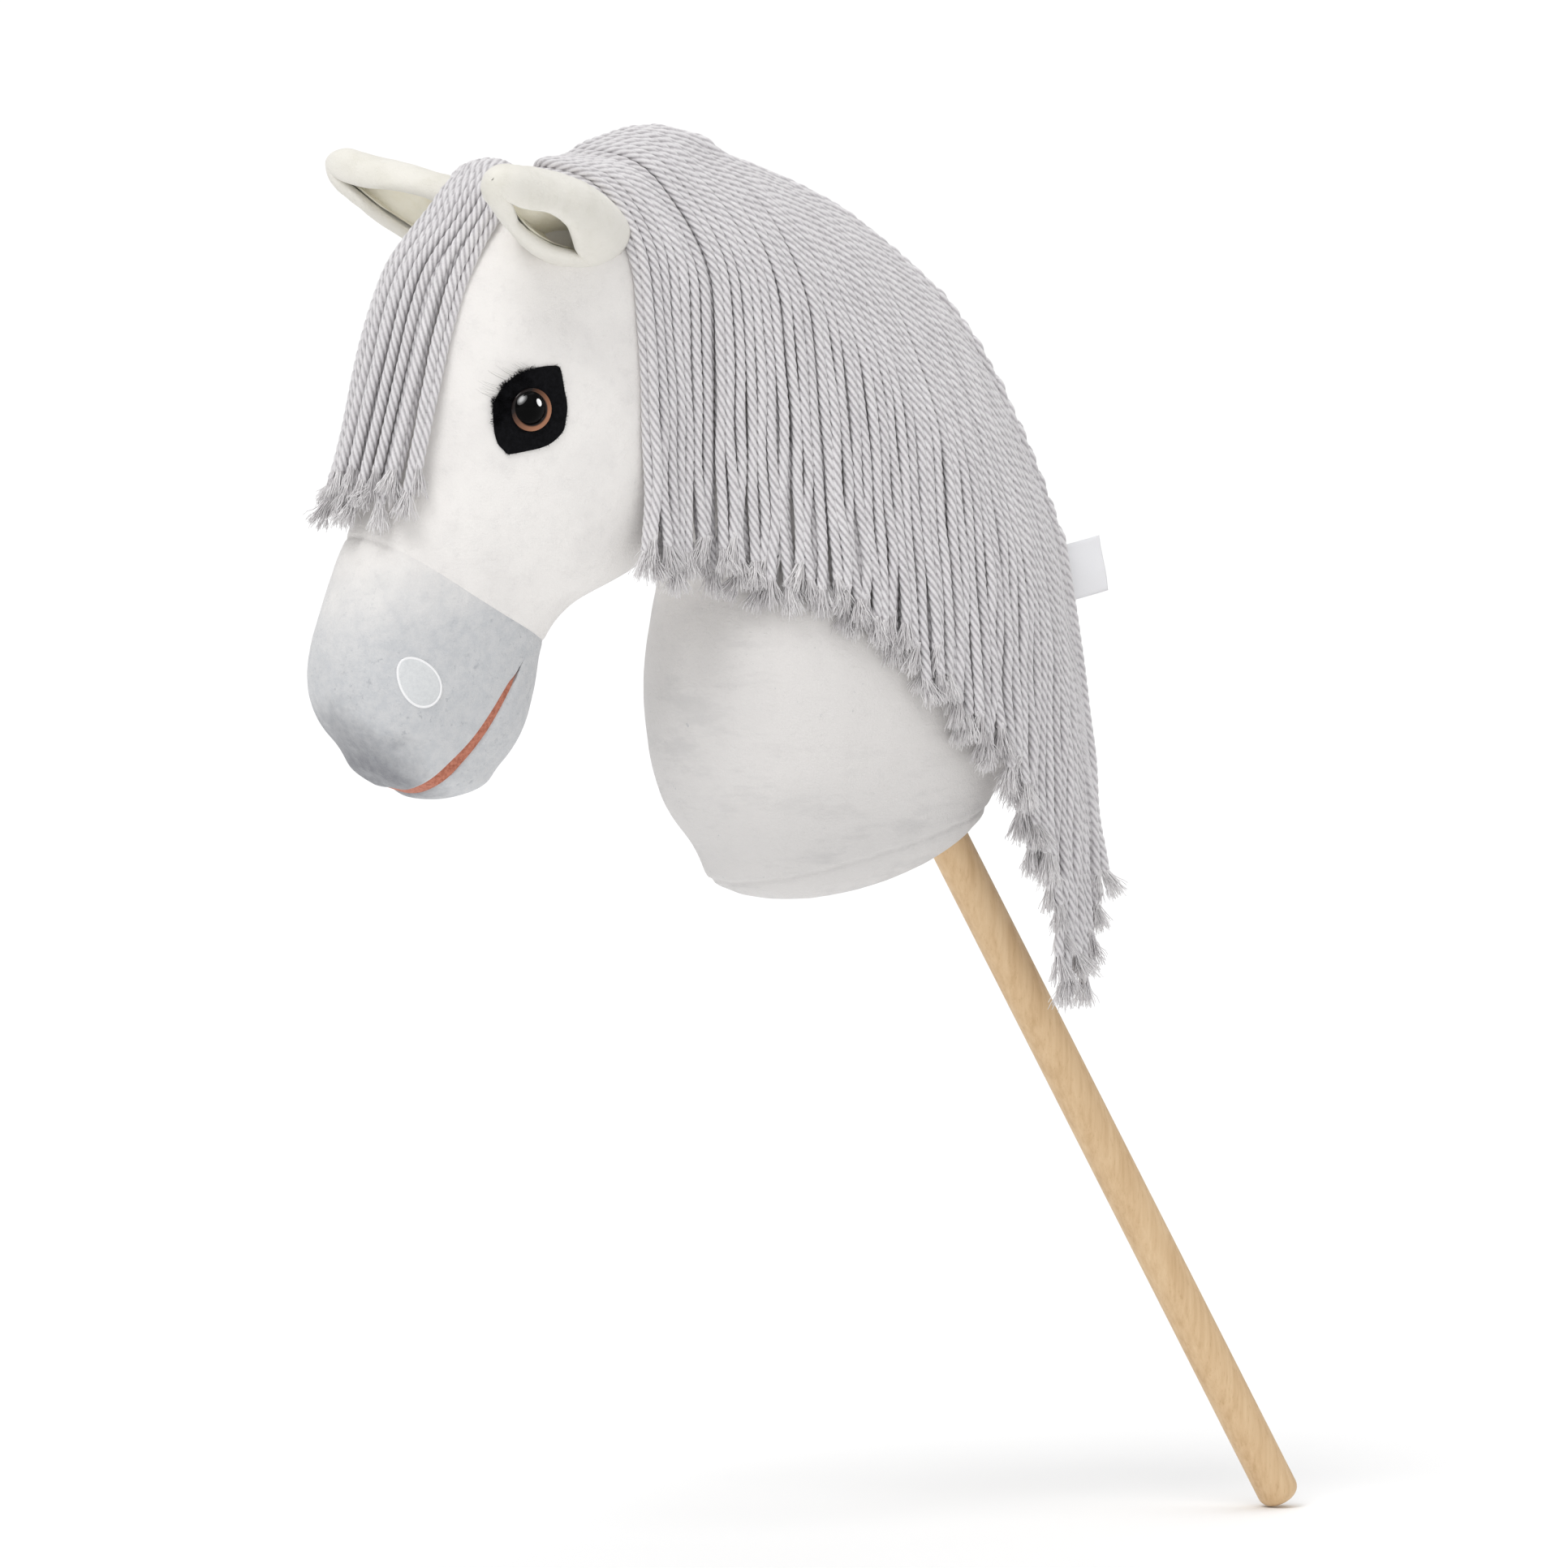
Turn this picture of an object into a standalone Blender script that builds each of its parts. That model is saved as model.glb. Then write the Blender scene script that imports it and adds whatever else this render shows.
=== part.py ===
"""Hobby horse: a stuffed plush horse head and neck on a wooden stick, with a mane of cotton cords.

Metres, +Z up, as the rider holds it: the horse faces -X and the cords hang straight down.
The origin is on the stick's axis, at the middle of the hand grip just below the neck.
The mirror plane of the head is Y = 0; the mane falls to the horse's left, which is -Y.
"""
import math

import bmesh
import bpy
import numpy as np
from mathutils import Matrix, Vector
from mathutils.bvhtree import BVHTree

GAP = 0.0003                      # air between pieces that touch

# Stick
STICK_DIAMETER = 0.025
STICK_LENGTH = 0.800
STICK_LEAN = math.radians(29.3)   # from the vertical, foot backwards
GRIP_ABOVE_FOOT = 0.380           # from the foot to the origin, along the stick
STICK_END_FILLET = 0.0075
STICK_SIDES = 32
SLEEVE_WALL = 0.0015              # fabric pocket that holds the stick inside the stuffing
SLEEVE_LENGTH = 0.300

# Stuffed forms: stations from one end to the other, each
# (front x, front z, back x, back z, half width), between two end poles (x, z).
NECK_BASE_POLE = (-0.119, 0.050)
NECK_STATIONS = (
    (-0.203, 0.074, -0.018, 0.104, 0.055),
    (-0.226, 0.107, 0.006, 0.145, 0.069),
    (-0.236, 0.151, 0.020, 0.192, 0.075),
    (-0.234, 0.196, 0.019, 0.240, 0.075),
    (-0.227, 0.242, 0.003, 0.288, 0.071),
    (-0.238, 0.290, -0.024, 0.343, 0.065),
    (-0.262, 0.338, -0.071, 0.405, 0.057),
    (-0.290, 0.386, -0.137, 0.453, 0.049),
    (-0.315, 0.430, -0.213, 0.485, 0.039),
)
NECK_TOP_POLE = (-0.291, 0.489)
NECK_CREST_TAPER = 0.22           # how much narrower a section is at the crest than at the throat

HEAD_TOP_POLE = (-0.322, 0.484)
HEAD_STATIONS = (
    (-0.372, 0.457, -0.275, 0.470, 0.038),
    (-0.402, 0.423, -0.235, 0.440, 0.053),
    (-0.415, 0.375, -0.212, 0.388, 0.062),
    (-0.422, 0.325, -0.205, 0.328, 0.065),
    (-0.431, 0.288, -0.220, 0.276, 0.060),
    (-0.444, 0.257, -0.258, 0.250, 0.054),
    (-0.453, 0.232, -0.300, 0.230, 0.049),
    (-0.461, 0.206, -0.318, 0.208, 0.047),
    (-0.462, 0.182, -0.325, 0.180, 0.048),
    (-0.455, 0.162, -0.334, 0.154, 0.045),
    (-0.441, 0.144, -0.351, 0.132, 0.038),
)
HEAD_NOSE_POLE = (-0.398, 0.116)
HEAD_JAW_TAPER = 0.12
SECTION_POWER = 2.25              # 2 is an ellipse; the stuffed sections are a little squarer
SECTION_SIDES = 28
NECK_RINGS = 17
HEAD_RINGS = 19
DOME_RINGS = 3
FAR = 0.6                         # further than any point of the head, for rays and cutters

# Seams, as lines across the profile (x, z) from the front to the back
MUZZLE_SEAM = ((-0.470, 0.2925), (-0.290, 0.191))
MOUTH_CORNER = (-0.349, 0.195)
MOUTH_FRONT = (-0.413, 0.124)
MOUTH_OPENING = 0.0075            # between the lips at the front, where the lining shows
MOUTH_PAST_FRONT = 0.050          # how far the mouth's cutters go on in front of the lips
LINING_SHORT = 0.012              # from the lining's back edge to the corner of the mouth
LIP_INSET = 0.0016                # how far the lining and the chin lie inside the upper lip

# Ears
EAR_ROOT = (-0.313, 0.452)        # x, z where the ear's axis leaves the head
EAR_REACH = Vector((-0.089, 0.063, 0.034))   # root to tip of the ear on the +Y side
EAR_SUNK = 0.022                  # how far the ear starts inside the head
EAR_HALF_WIDTHS = (0.018, 0.026, 0.031, 0.032, 0.028, 0.020, 0.011)
EAR_SLOT = (8, 12, 20, 32, 45, 58, 70)      # half angle of the opening, degrees, root to tip
EAR_DEPTH_RATIO = 0.82
EAR_OPENS = Vector((-0.20, 0.70, -0.69))  # the way the ear's opening faces, +Y side
EAR_PLUSH = 0.0035
EAR_LINING = 0.0018
EAR_GAP = 0.0013                  # between the plush and the lining
EAR_RINGS = 11
EAR_ARC = 11                      # points across the open section

# Face
EYE_PLACE = (-0.353, 0.349)       # x, z
EYE_SIDES = 24
EYE_RADIUS = 0.0104
EYE_HEIGHT = 0.0062
EYE_RING_WIDTH = 0.0018
EYE_RING_HEIGHT = 0.0026
EYE_SHANK_RADIUS = 0.0030
EYE_SHANK_LENGTH = 0.014
EYE_WASHER_RADIUS = 0.0090
EYE_WASHER_THICKNESS = 0.0016
EYE_WASHER_DEPTH = 0.0075         # from the cheek in to the washer
FELT = 0.0012
EYE_PATCH = ((-0.023, 0.010), (-0.015, 0.020), (-0.002, 0.025), (0.016, 0.025), (0.021, 0.017),
             (0.022, 0.001), (0.019, -0.013), (0.009, -0.022), (-0.016, -0.027), (-0.022, -0.015),
             (-0.0235, 0.000))    # forward is -x, up is +y, from the eye's centre
LASH_COUNT = 11
LASH_LENGTH = 0.011
LASH_RADIUS = 0.00035
LASH_BAND = 0.0016
LASH_LEAN = (0.55, 0.35, 0.75)    # away from the eye, forward, out of the face

NOSTRIL_PLACE = (-0.417, 0.190)
NOSTRIL_HALF_LENGTH = 0.0150
NOSTRIL_HALF_WIDTH = 0.0108
NOSTRIL_LEAN = math.radians(24)
NOSTRIL_POINT = 0.18              # how much narrower the egg is at its upper end
NOSTRIL_FELT = 0.0007
RIM_WIDTH = 0.0014
RIM_HEIGHT = 0.0013
TRIM_REACH = 0.018                # how far the face trims' cutters reach in and out of the skin

# Mane and forelock
CORD_DIAMETER = 0.0060
CORD_SPREAD = 0.007               # how far a cord's end may differ from its neighbours
CORD_SIDES = 4
MANE_CORDS = 76                   # in two layers
MANE_SECTIONS = 4                 # MANE_CORDS divides by it
MANE_ROOT_FRONT = -0.310          # x of the first root on the crest
MANE_ABOVE_LABEL = 0.012          # from the label up to the end of the mane's tape
MANE_HANG_FRONT = -0.279          # x of the first cord where it hangs
MANE_HANG_BACK = 0.056            # x of the last cord where it hangs
MANE_SETTLE = (0.055, 0.26)       # the length over which a cord moves back, first and last
MANE_FRINGE = (                   # x where a cord hangs, height of its end
    (-0.279, 0.243), (-0.232, 0.238), (-0.181, 0.220), (-0.132, 0.197), (-0.091, 0.166), (-0.053, 0.124),
    (-0.020, 0.082), (0.000, 0.030), (0.014, -0.018), (0.034, -0.012), (0.046, 0.018), (0.056, 0.045),
)
CREST_STEEPNESS = 0.35            # 0 spaces the roots evenly from the side, 1 along the crest
CREST_PIVOT = Vector((-0.190, 0, 0.215))   # inside the neck: the crest is looked for round it
CORD_POINTS = 8                   # along each cord
CORD_PINCH = 0.6                  # how thin a cord is where it is sewn into its tape
DRAPE_DEPTH = 0.075               # from a root down to the level where cords lie against the side
DRIFT_EASE = 1.2
ROOT_STAND = 0.014                # from a root, the length over which a cord keeps its height
TAPE_WIDTH = 0.0060
TAPE_HEIGHT = 0.0105
FORELOCK_CORDS = 13               # in two layers
FORELOCK_END = 0.290              # height of its ends
FORELOCK_SETTLE = 0.150
FORELOCK_ROOT = -0.340            # x of the forelock's band on the poll
FORELOCK_ROOT_WIDTH = 0.047
FORELOCK_HANG_WIDTH = 0.092
FORELOCK_FLARE = 0.012            # how far the springy ends stand off the face

# Care label
LABEL_HEIGHT = 0.230
LABEL_LENGTH = 0.046
LABEL_WIDTH = 0.034
LABEL_THICKNESS = 0.0010
LABEL_TUCK = 0.010
LABEL_TILT = math.radians(-12)

FINISHES = {                      # colour, roughness
    "white_plush": ((0.86, 0.86, 0.83), 0.95),
    "grey_plush": ((0.70, 0.71, 0.73), 0.95),
    "cream_plush": ((0.83, 0.84, 0.76), 0.95),
    "black_felt": ((0.010, 0.010, 0.012), 0.95),
    "pale_felt": ((0.66, 0.67, 0.68), 0.92),
    "white_thread": ((0.88, 0.88, 0.88), 0.75),
    "pink_felt": ((0.58, 0.22, 0.16), 0.92),
    "grey_cord": ((0.52, 0.50, 0.53), 0.88),
    "beech": ((0.70, 0.48, 0.28), 0.45),
    "black_gloss": ((0.008, 0.008, 0.009), 0.08),
    "brown_gloss": ((0.26, 0.09, 0.04), 0.20),
    "grey_plastic": ((0.35, 0.35, 0.36), 0.45),
    "white_cotton": ((0.80, 0.80, 0.78), 0.85),
    "white_satin": ((0.86, 0.86, 0.86), 0.55),
}


def clear_scene():
    for thing in list(bpy.data.objects):
        bpy.data.objects.remove(thing, do_unlink=True)


def finish(thing, name):
    colour, roughness = FINISHES[name]
    material = bpy.data.materials.new(thing.name + "_" + name)
    material.use_nodes = True
    shader = material.node_tree.nodes["Principled BSDF"]
    shader.inputs["Base Color"].default_value = (*colour, 1.0)
    shader.inputs["Roughness"].default_value = roughness
    shader.inputs["Metallic"].default_value = 0.0
    thing.data.materials.append(material)


def add_piece(name, verts, faces, look, matrix=None, smooth=True):
    """One closed piece, its faces turned outwards."""
    mesh = bpy.data.meshes.new(name)
    mesh.from_pydata([tuple(v) for v in verts], [], [tuple(f) for f in faces])
    if matrix is not None:
        mesh.transform(matrix)
    turn_outwards(mesh)
    if smooth:
        mesh.shade_smooth()
        mesh.set_sharp_from_angle(angle=math.radians(40))
    piece = bpy.data.objects.new(name, mesh)
    bpy.context.scene.collection.objects.link(piece)
    if look:
        finish(piece, look)
    else:
        piece.hide_render = True
        piece.display_type = 'WIRE'
    return piece


def turn_outwards(mesh):
    shape = bmesh.new()
    shape.from_mesh(mesh)
    bmesh.ops.recalc_face_normals(shape, faces=shape.faces)
    if shape.calc_volume(signed=True) < 0:
        bmesh.ops.reverse_faces(shape, faces=shape.faces)
    shape.to_mesh(mesh)
    shape.free()


def guide(name, verts, faces, matrix=None):
    return add_piece(name, verts, faces, None, matrix, smooth=False)


def offset_guide(name, source, distance):
    """A copy of a form's own mesh, moved out along its normals."""
    mesh = source.data.copy()
    shape = bmesh.new()
    shape.from_mesh(mesh)
    shape.normal_update()
    for vert in shape.verts:
        vert.co += vert.normal * distance
    shape.to_mesh(mesh)
    shape.free()
    mesh.materials.clear()
    copy = bpy.data.objects.new(name, mesh)
    copy.hide_render = True
    copy.display_type = 'WIRE'
    bpy.context.scene.collection.objects.link(copy)
    return copy


def boolean(piece, other, operation):
    step = piece.modifiers.new(operation.lower() + "_" + other.name, 'BOOLEAN')
    step.operation = operation
    step.object = other


def cut(piece, *cutters):
    for cutter in cutters:
        boolean(piece, cutter, 'DIFFERENCE')


def keep_inside(piece, *limits):
    for limit in limits:
        boolean(piece, limit, 'INTERSECT')


def smooth_rows(rows, count):
    """Rows read from the Catmull-Rom curve through the given rows."""
    rows = np.array(rows, dtype=float)
    padded = np.vstack([2 * rows[0] - rows[1], rows, 2 * rows[-1] - rows[-2]])
    place = np.linspace(0, len(rows) - 1, count)
    index = np.minimum(place.astype(int), len(rows) - 2)
    t = (place - index)[:, None]
    a, b, c, d = (padded[index + k] for k in range(4))
    return 0.5 * (2 * b + (c - a) * t + (2 * a - 5 * b + 4 * c - d) * t ** 2
                  + (3 * b - a - 3 * c + d) * t ** 3)


def grid_faces(rings, sides, first=0):
    """Quads between rings of points that each close on themselves."""
    faces = []
    for i in range(rings - 1):
        for j in range(sides):
            k = (j + 1) % sides
            low = first + i * sides
            faces.append((low + j, low + k, low + sides + k, low + sides + j))
    return faces


def stuffed_form(stations, first_pole, last_pole, rings, taper):
    """Oval sections across a bent spine, closed by a dome at each end."""
    rows = smooth_rows(stations, rings)
    front, back = rows[:, 0:2], rows[:, 2:4]
    centre, reach, width = (front + back) / 2, (back - front) / 2, rows[:, 4]
    dome = np.linspace(0, math.pi / 2, DOME_RINGS + 2)[1:-1]
    first_pole, last_pole = np.array(first_pole), np.array(last_pole)
    low = [(centre[0] + (first_pole - centre[0]) * math.cos(a), reach[0] * math.sin(a),
            width[0] * math.sin(a)) for a in dome]
    high = [(centre[-1] + (last_pole - centre[-1]) * math.cos(a), reach[-1] * math.sin(a),
             width[-1] * math.sin(a)) for a in dome[::-1]]
    sections = low + list(zip(centre, reach, width)) + high
    angle = np.linspace(0, 2 * math.pi, SECTION_SIDES, endpoint=False)
    along = np.sign(np.cos(angle)) * np.abs(np.cos(angle)) ** (2 / SECTION_POWER)
    across = np.sign(np.sin(angle)) * np.abs(np.sin(angle)) ** (2 / SECTION_POWER)
    verts = []
    for middle, half, wide in sections:
        spread = wide * across * (1 - taper * along)
        for u, y in zip(along, spread):
            verts.append((middle[0] + half[0] * u, y, middle[1] + half[1] * u))
    faces = grid_faces(len(sections), SECTION_SIDES)
    verts.append((first_pole[0], 0, first_pole[1]))
    verts.append((last_pole[0], 0, last_pole[1]))
    last = (len(sections) - 1) * SECTION_SIDES
    for j in range(SECTION_SIDES):
        k = (j + 1) % SECTION_SIDES
        faces.append((len(verts) - 2, k, j))
        faces.append((len(verts) - 1, last + j, last + k))
    return verts, faces


def turned(profile, segments=STICK_SIDES, closed=False):
    """A profile of (radius, height) points spun round Z. Points at radius 0 are poles."""
    verts, rings, faces = [], [], []
    for radius, height in profile:
        if radius == 0:
            rings.append([len(verts)])
            verts.append((0, 0, height))
            continue
        rings.append(list(range(len(verts), len(verts) + segments)))
        for j in range(segments):
            turn = 2 * math.pi * j / segments
            verts.append((radius * math.cos(turn), radius * math.sin(turn), height))
    pairs = list(zip(rings, rings[1:]))
    if closed:
        pairs.append((rings[-1], rings[0]))
    for lower, upper in pairs:
        if len(lower) == len(upper) == 1:
            continue
        for j in range(segments):
            k = (j + 1) % segments
            corners = [lower[j % len(lower)], lower[k % len(lower)],
                       upper[k % len(upper)], upper[j % len(upper)]]
            faces.append(tuple(dict.fromkeys(corners)))
    return verts, faces


def prism(outline, low, high):
    """An outline of (x, y) points carried from one height to another."""
    count = len(outline)
    verts = [(x, y, low) for x, y in outline] + [(x, y, high) for x, y in outline]
    faces = [tuple(range(count))[::-1], tuple(range(count, 2 * count))]
    faces += grid_faces(2, count)
    return verts, faces


def ring_prism(outer, inner, low, high):
    """A prism with a hole: the two outlines have as many points."""
    count = len(outer)
    verts = []
    for outline, height in ((outer, low), (outer, high), (inner, high), (inner, low)):
        verts += [(x, y, height) for x, y in outline]
    faces = grid_faces(4, count)
    for j in range(count):
        k = (j + 1) % count
        faces.append((3 * count + j, 3 * count + k, k, j))
    return verts, faces


def tree_of(pieces):
    verts, faces = [], []
    for piece in pieces:
        first = len(verts)
        verts += [piece.matrix_world @ v.co for v in piece.data.vertices]
        faces += [[first + i for i in face.vertices] for face in piece.data.polygons]
    return BVHTree.FromPolygons(verts, faces)


def side_point(tree, x, z, side):
    """The point and normal of the skin at (x, z), seen from the left (-1) or the right (1)."""
    point, normal, _, _ = tree.ray_cast(Vector((x, side, z)), Vector((0, -side, 0)))
    return point, normal


def face_frame(point, normal, side):
    """Local +Z out of the face, local +Y up it, local -X forward on both sides of the head."""
    up = (Vector((0, 0, 1)) - normal * normal.z).normalized()
    forward = up.cross(normal) * side
    frame = Matrix((-forward, up, normal)).transposed().to_4x4()
    frame.translation = point
    return frame


def make_stick():
    radius, fillet = STICK_DIAMETER / 2, STICK_END_FILLET
    foot, top = -GRIP_ABOVE_FOOT, STICK_LENGTH - GRIP_ABOVE_FOOT
    bend = np.linspace(0, math.pi / 2, 5)
    low = [(radius - fillet + fillet * math.sin(a), foot + fillet - fillet * math.cos(a)) for a in bend]
    high = [(radius - fillet + fillet * math.cos(a), top - fillet + fillet * math.sin(a)) for a in bend]
    profile = [(0, foot)] + low + high + [(0, top)]
    add_piece("stick", *turned(profile), "beech", STICK_FRAME)

    inner, bottom = radius + GAP, SLEEVE_TOP - SLEEVE_LENGTH
    outer, lid = inner + SLEEVE_WALL, SLEEVE_TOP - SLEEVE_WALL
    pocket = [(inner, bottom), (outer, bottom), (outer, SLEEVE_TOP), (0, SLEEVE_TOP), (0, lid),
              (inner, lid)]
    add_piece("stick_sleeve", *turned(pocket, closed=True), "white_cotton", STICK_FRAME)

    bore = outer + GAP
    hole = [(0, foot), (inner, foot), (inner, bottom - GAP), (bore, bottom - GAP),
            (bore, SLEEVE_TOP + GAP), (0, SLEEVE_TOP + GAP)]
    return guide("stick_bore", *turned(hole), STICK_FRAME)


def profile_slab(name, outline):
    """An (x, z) outline carried across the head."""
    verts, faces = prism(outline, -FAR / 2, FAR / 2)
    turn = Matrix(((1, 0, 0, 0), (0, 0, 1, 0), (0, 1, 0, 0), (0, 0, 0, 1)))
    return guide(name, verts, faces, turn)


def beyond(line, side):
    """The half plane on one side (1 or -1) of a line, as an (x, z) outline."""
    start, end = Vector(line[0]), Vector(line[1])
    run = (end - start).normalized()
    out = Vector((-run.y, run.x)) * side
    start, end = start - run * FAR, end + run * FAR
    return [tuple(p) for p in (start, end, end + out * FAR, start + out * FAR)]


def shifted(line, distance):
    run = (Vector(line[1]) - Vector(line[0])).normalized()
    out = Vector((-run.y, run.x)) * distance
    return [tuple(Vector(p) + out) for p in line]


def make_neck(bore):
    verts, faces = stuffed_form(NECK_STATIONS, NECK_BASE_POLE, NECK_TOP_POLE, NECK_RINGS,
                                NECK_CREST_TAPER)
    neck = add_piece("neck", verts, faces, "white_plush")
    panel = add_piece("base_panel", verts, faces, "white_plush")
    seam = (NECK_STATIONS[0][0:2], NECK_STATIONS[0][2:4])
    below = profile_slab("base_seam_low", beyond(shifted(seam, -GAP / 2), -1))
    above = profile_slab("base_seam_high", beyond(shifted(seam, GAP / 2), 1))
    keep_inside(neck, above)
    keep_inside(panel, below)
    cut(neck, bore)
    cut(panel, bore)
    return neck


def make_head(neck):
    form = stuffed_form(HEAD_STATIONS, HEAD_TOP_POLE, HEAD_NOSE_POLE, HEAD_RINGS, HEAD_JAW_TAPER)
    head = add_piece("head", *form, "white_plush")
    muzzle = add_piece("muzzle", *form, "grey_plush")
    chin = add_piece("chin", *form, "grey_plush")
    lining = add_piece("mouth_lining", *form, "pink_felt")
    for inset in (chin, lining):
        shrink(inset, LIP_INSET)
    neck_space = offset_guide("neck_space", neck, GAP)
    above = profile_slab("muzzle_seam_high", beyond(shifted(MUZZLE_SEAM, GAP / 2), 1))
    below = profile_slab("muzzle_seam_low", beyond(shifted(MUZZLE_SEAM, -GAP / 2), -1))
    keep_inside(head, above)
    cut(head, neck_space)
    mouth = (MOUTH_FRONT, MOUTH_CORNER)
    lower_lip = (Vector(MOUTH_FRONT) + mouth_out() * MOUTH_OPENING, MOUTH_CORNER)
    upper = profile_slab("upper_lip", beyond(mouth, 1))
    lower = profile_slab("lower_lip", beyond(shifted(lower_lip, -GAP), -1))
    under = profile_slab("under_mouth", beyond(shifted(mouth, -GAP), -1))
    keep_inside(muzzle, below, upper)
    keep_inside(chin, below, lower, under)
    keep_inside(lining, profile_slab("mouth_gap", mouth_outline()))
    return head


def mouth_out():
    """The way from the upper lip to the lower one, in the profile."""
    run = (Vector(MOUTH_CORNER) - Vector(MOUTH_FRONT)).normalized()
    return Vector((run.y, -run.x))


def mouth_outline():
    """The wedge between the lips, from the front of the mouth to its corner."""
    out, lip = mouth_out(), Vector(MOUTH_CORNER) - Vector(MOUTH_FRONT)
    run, widen = lip.normalized(), MOUTH_OPENING / lip.length
    front, corner = Vector(MOUTH_FRONT) - run * MOUTH_PAST_FRONT, Vector(MOUTH_CORNER) - run * LINING_SHORT
    return [tuple(p) for p in (front + out * GAP, corner + out * GAP,
                               corner + out * (widen * LINING_SHORT),
                               front + out * (MOUTH_OPENING + MOUTH_PAST_FRONT * widen))]


def shrink(piece, distance):
    shape = bmesh.new()
    shape.from_mesh(piece.data)
    shape.normal_update()
    for vert in shape.verts:
        vert.co -= vert.normal * distance
    shape.to_mesh(piece.data)
    shape.free()


def ear_surface(root, side, inner, outer):
    """A rolled leaf: C-shaped sections round the ear's axis, the wall between two insets."""
    reach = Vector((EAR_REACH.x, EAR_REACH.y * side, EAR_REACH.z))
    axis = reach.normalized()
    opens = Vector((EAR_OPENS.x, EAR_OPENS.y * side, EAR_OPENS.z))
    opens = (opens - axis * opens.dot(axis)).normalized()
    across = axis.cross(opens)
    widths = smooth_rows([[w] for w in EAR_HALF_WIDTHS], EAR_RINGS)[:, 0]
    slots = smooth_rows([[s] for s in EAR_SLOT], EAR_RINGS)[:, 0]
    start = root - axis * EAR_SUNK
    verts, section = [], 2 * EAR_ARC
    for i in range(EAR_RINGS):
        t = i / (EAR_RINGS - 1)
        middle = start + axis * ((reach.length + EAR_SUNK) * t)
        angles = np.radians(np.linspace(slots[i], 360 - slots[i], EAR_ARC))
        for inset, order in ((outer, angles), (inner, angles[::-1])):
            radius = widths[i] - min(inset, widths[i] * inset / 0.012)
            for a in order:
                deep = opens * (math.cos(a) * radius * EAR_DEPTH_RATIO)
                verts.append(middle + deep + across * (math.sin(a) * radius))
    faces = grid_faces(EAR_RINGS, section)
    faces.append(tuple(range(section))[::-1])
    faces.append(tuple(range((EAR_RINGS - 1) * section, EAR_RINGS * section)))
    return verts, faces


def make_ears(tree, spaces):
    for side, label in ((-1, "left"), (1, "right")):
        root, _ = side_point(tree, EAR_ROOT[0], EAR_ROOT[1], side)
        shell = add_piece("ear_" + label, *ear_surface(root, side, EAR_PLUSH, 0), "cream_plush")
        lining = add_piece("ear_lining_" + label,
                           *ear_surface(root, side, EAR_PLUSH + EAR_GAP + EAR_LINING, EAR_PLUSH + EAR_GAP),
                           "cream_plush")
        cut(shell, *spaces)
        cut(lining, *spaces)


def make_eyes(tree, head, skins):
    felt_inner, felt_outer = skins
    bend = np.linspace(0, math.pi / 2, 6)
    dome = [(EYE_RADIUS * math.cos(a), EYE_HEIGHT * math.sin(a)) for a in bend[:-1]]
    eye = [(0, -EYE_SHANK_LENGTH), (EYE_SHANK_RADIUS, -EYE_SHANK_LENGTH), (EYE_SHANK_RADIUS, 0)]
    eye += dome + [(0, EYE_HEIGHT)]
    ring_in = EYE_RADIUS + GAP
    ring_out = ring_in + EYE_RING_WIDTH
    ring = [(ring_in, 0), (ring_out, 0), (ring_out, EYE_RING_HEIGHT * 0.6),
            (ring_out - EYE_RING_WIDTH * 0.35, EYE_RING_HEIGHT), (ring_in, EYE_RING_HEIGHT)]
    base = FELT + 2 * GAP
    washer_top = -EYE_WASHER_DEPTH
    washer_low = washer_top - EYE_WASHER_THICKNESS
    hole, wide = EYE_SHANK_RADIUS + GAP, EYE_WASHER_RADIUS + GAP
    washer = [(hole, washer_low), (EYE_WASHER_RADIUS, washer_low), (EYE_WASHER_RADIUS, washer_top),
              (hole, washer_top)]
    space = [(0, -EYE_SHANK_LENGTH - GAP), (hole, -EYE_SHANK_LENGTH - GAP), (hole, washer_low - GAP),
             (wide, washer_low - GAP), (wide, washer_top + GAP), (hole, washer_top + GAP),
             (hole, EYE_HEIGHT), (0, EYE_HEIGHT)]
    for side, label in ((-1, "left"), (1, "right")):
        point, normal = side_point(tree, *EYE_PLACE, side)
        skin = face_frame(point, normal, side)
        seat = skin @ Matrix.Translation((0, 0, base))
        add_piece("eye_" + label, *turned(eye, EYE_SIDES), "black_gloss", seat)
        add_piece("eye_ring_" + label, *turned(ring, EYE_SIDES, closed=True), "brown_gloss", seat)
        add_piece("eye_washer_" + label, *turned(washer, EYE_SIDES, closed=True), "grey_plastic", seat)
        socket = guide("eye_space_" + label, *turned(space, EYE_SIDES), seat)
        cut(head, socket)
        patch = add_piece("eye_patch_" + label, *prism(EYE_PATCH, -TRIM_REACH, TRIM_REACH),
                          "black_felt", skin, smooth=False)
        keep_inside(patch, felt_outer)
        cut(patch, felt_inner, socket)
        make_lashes(tree, side, label, skin)


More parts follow.
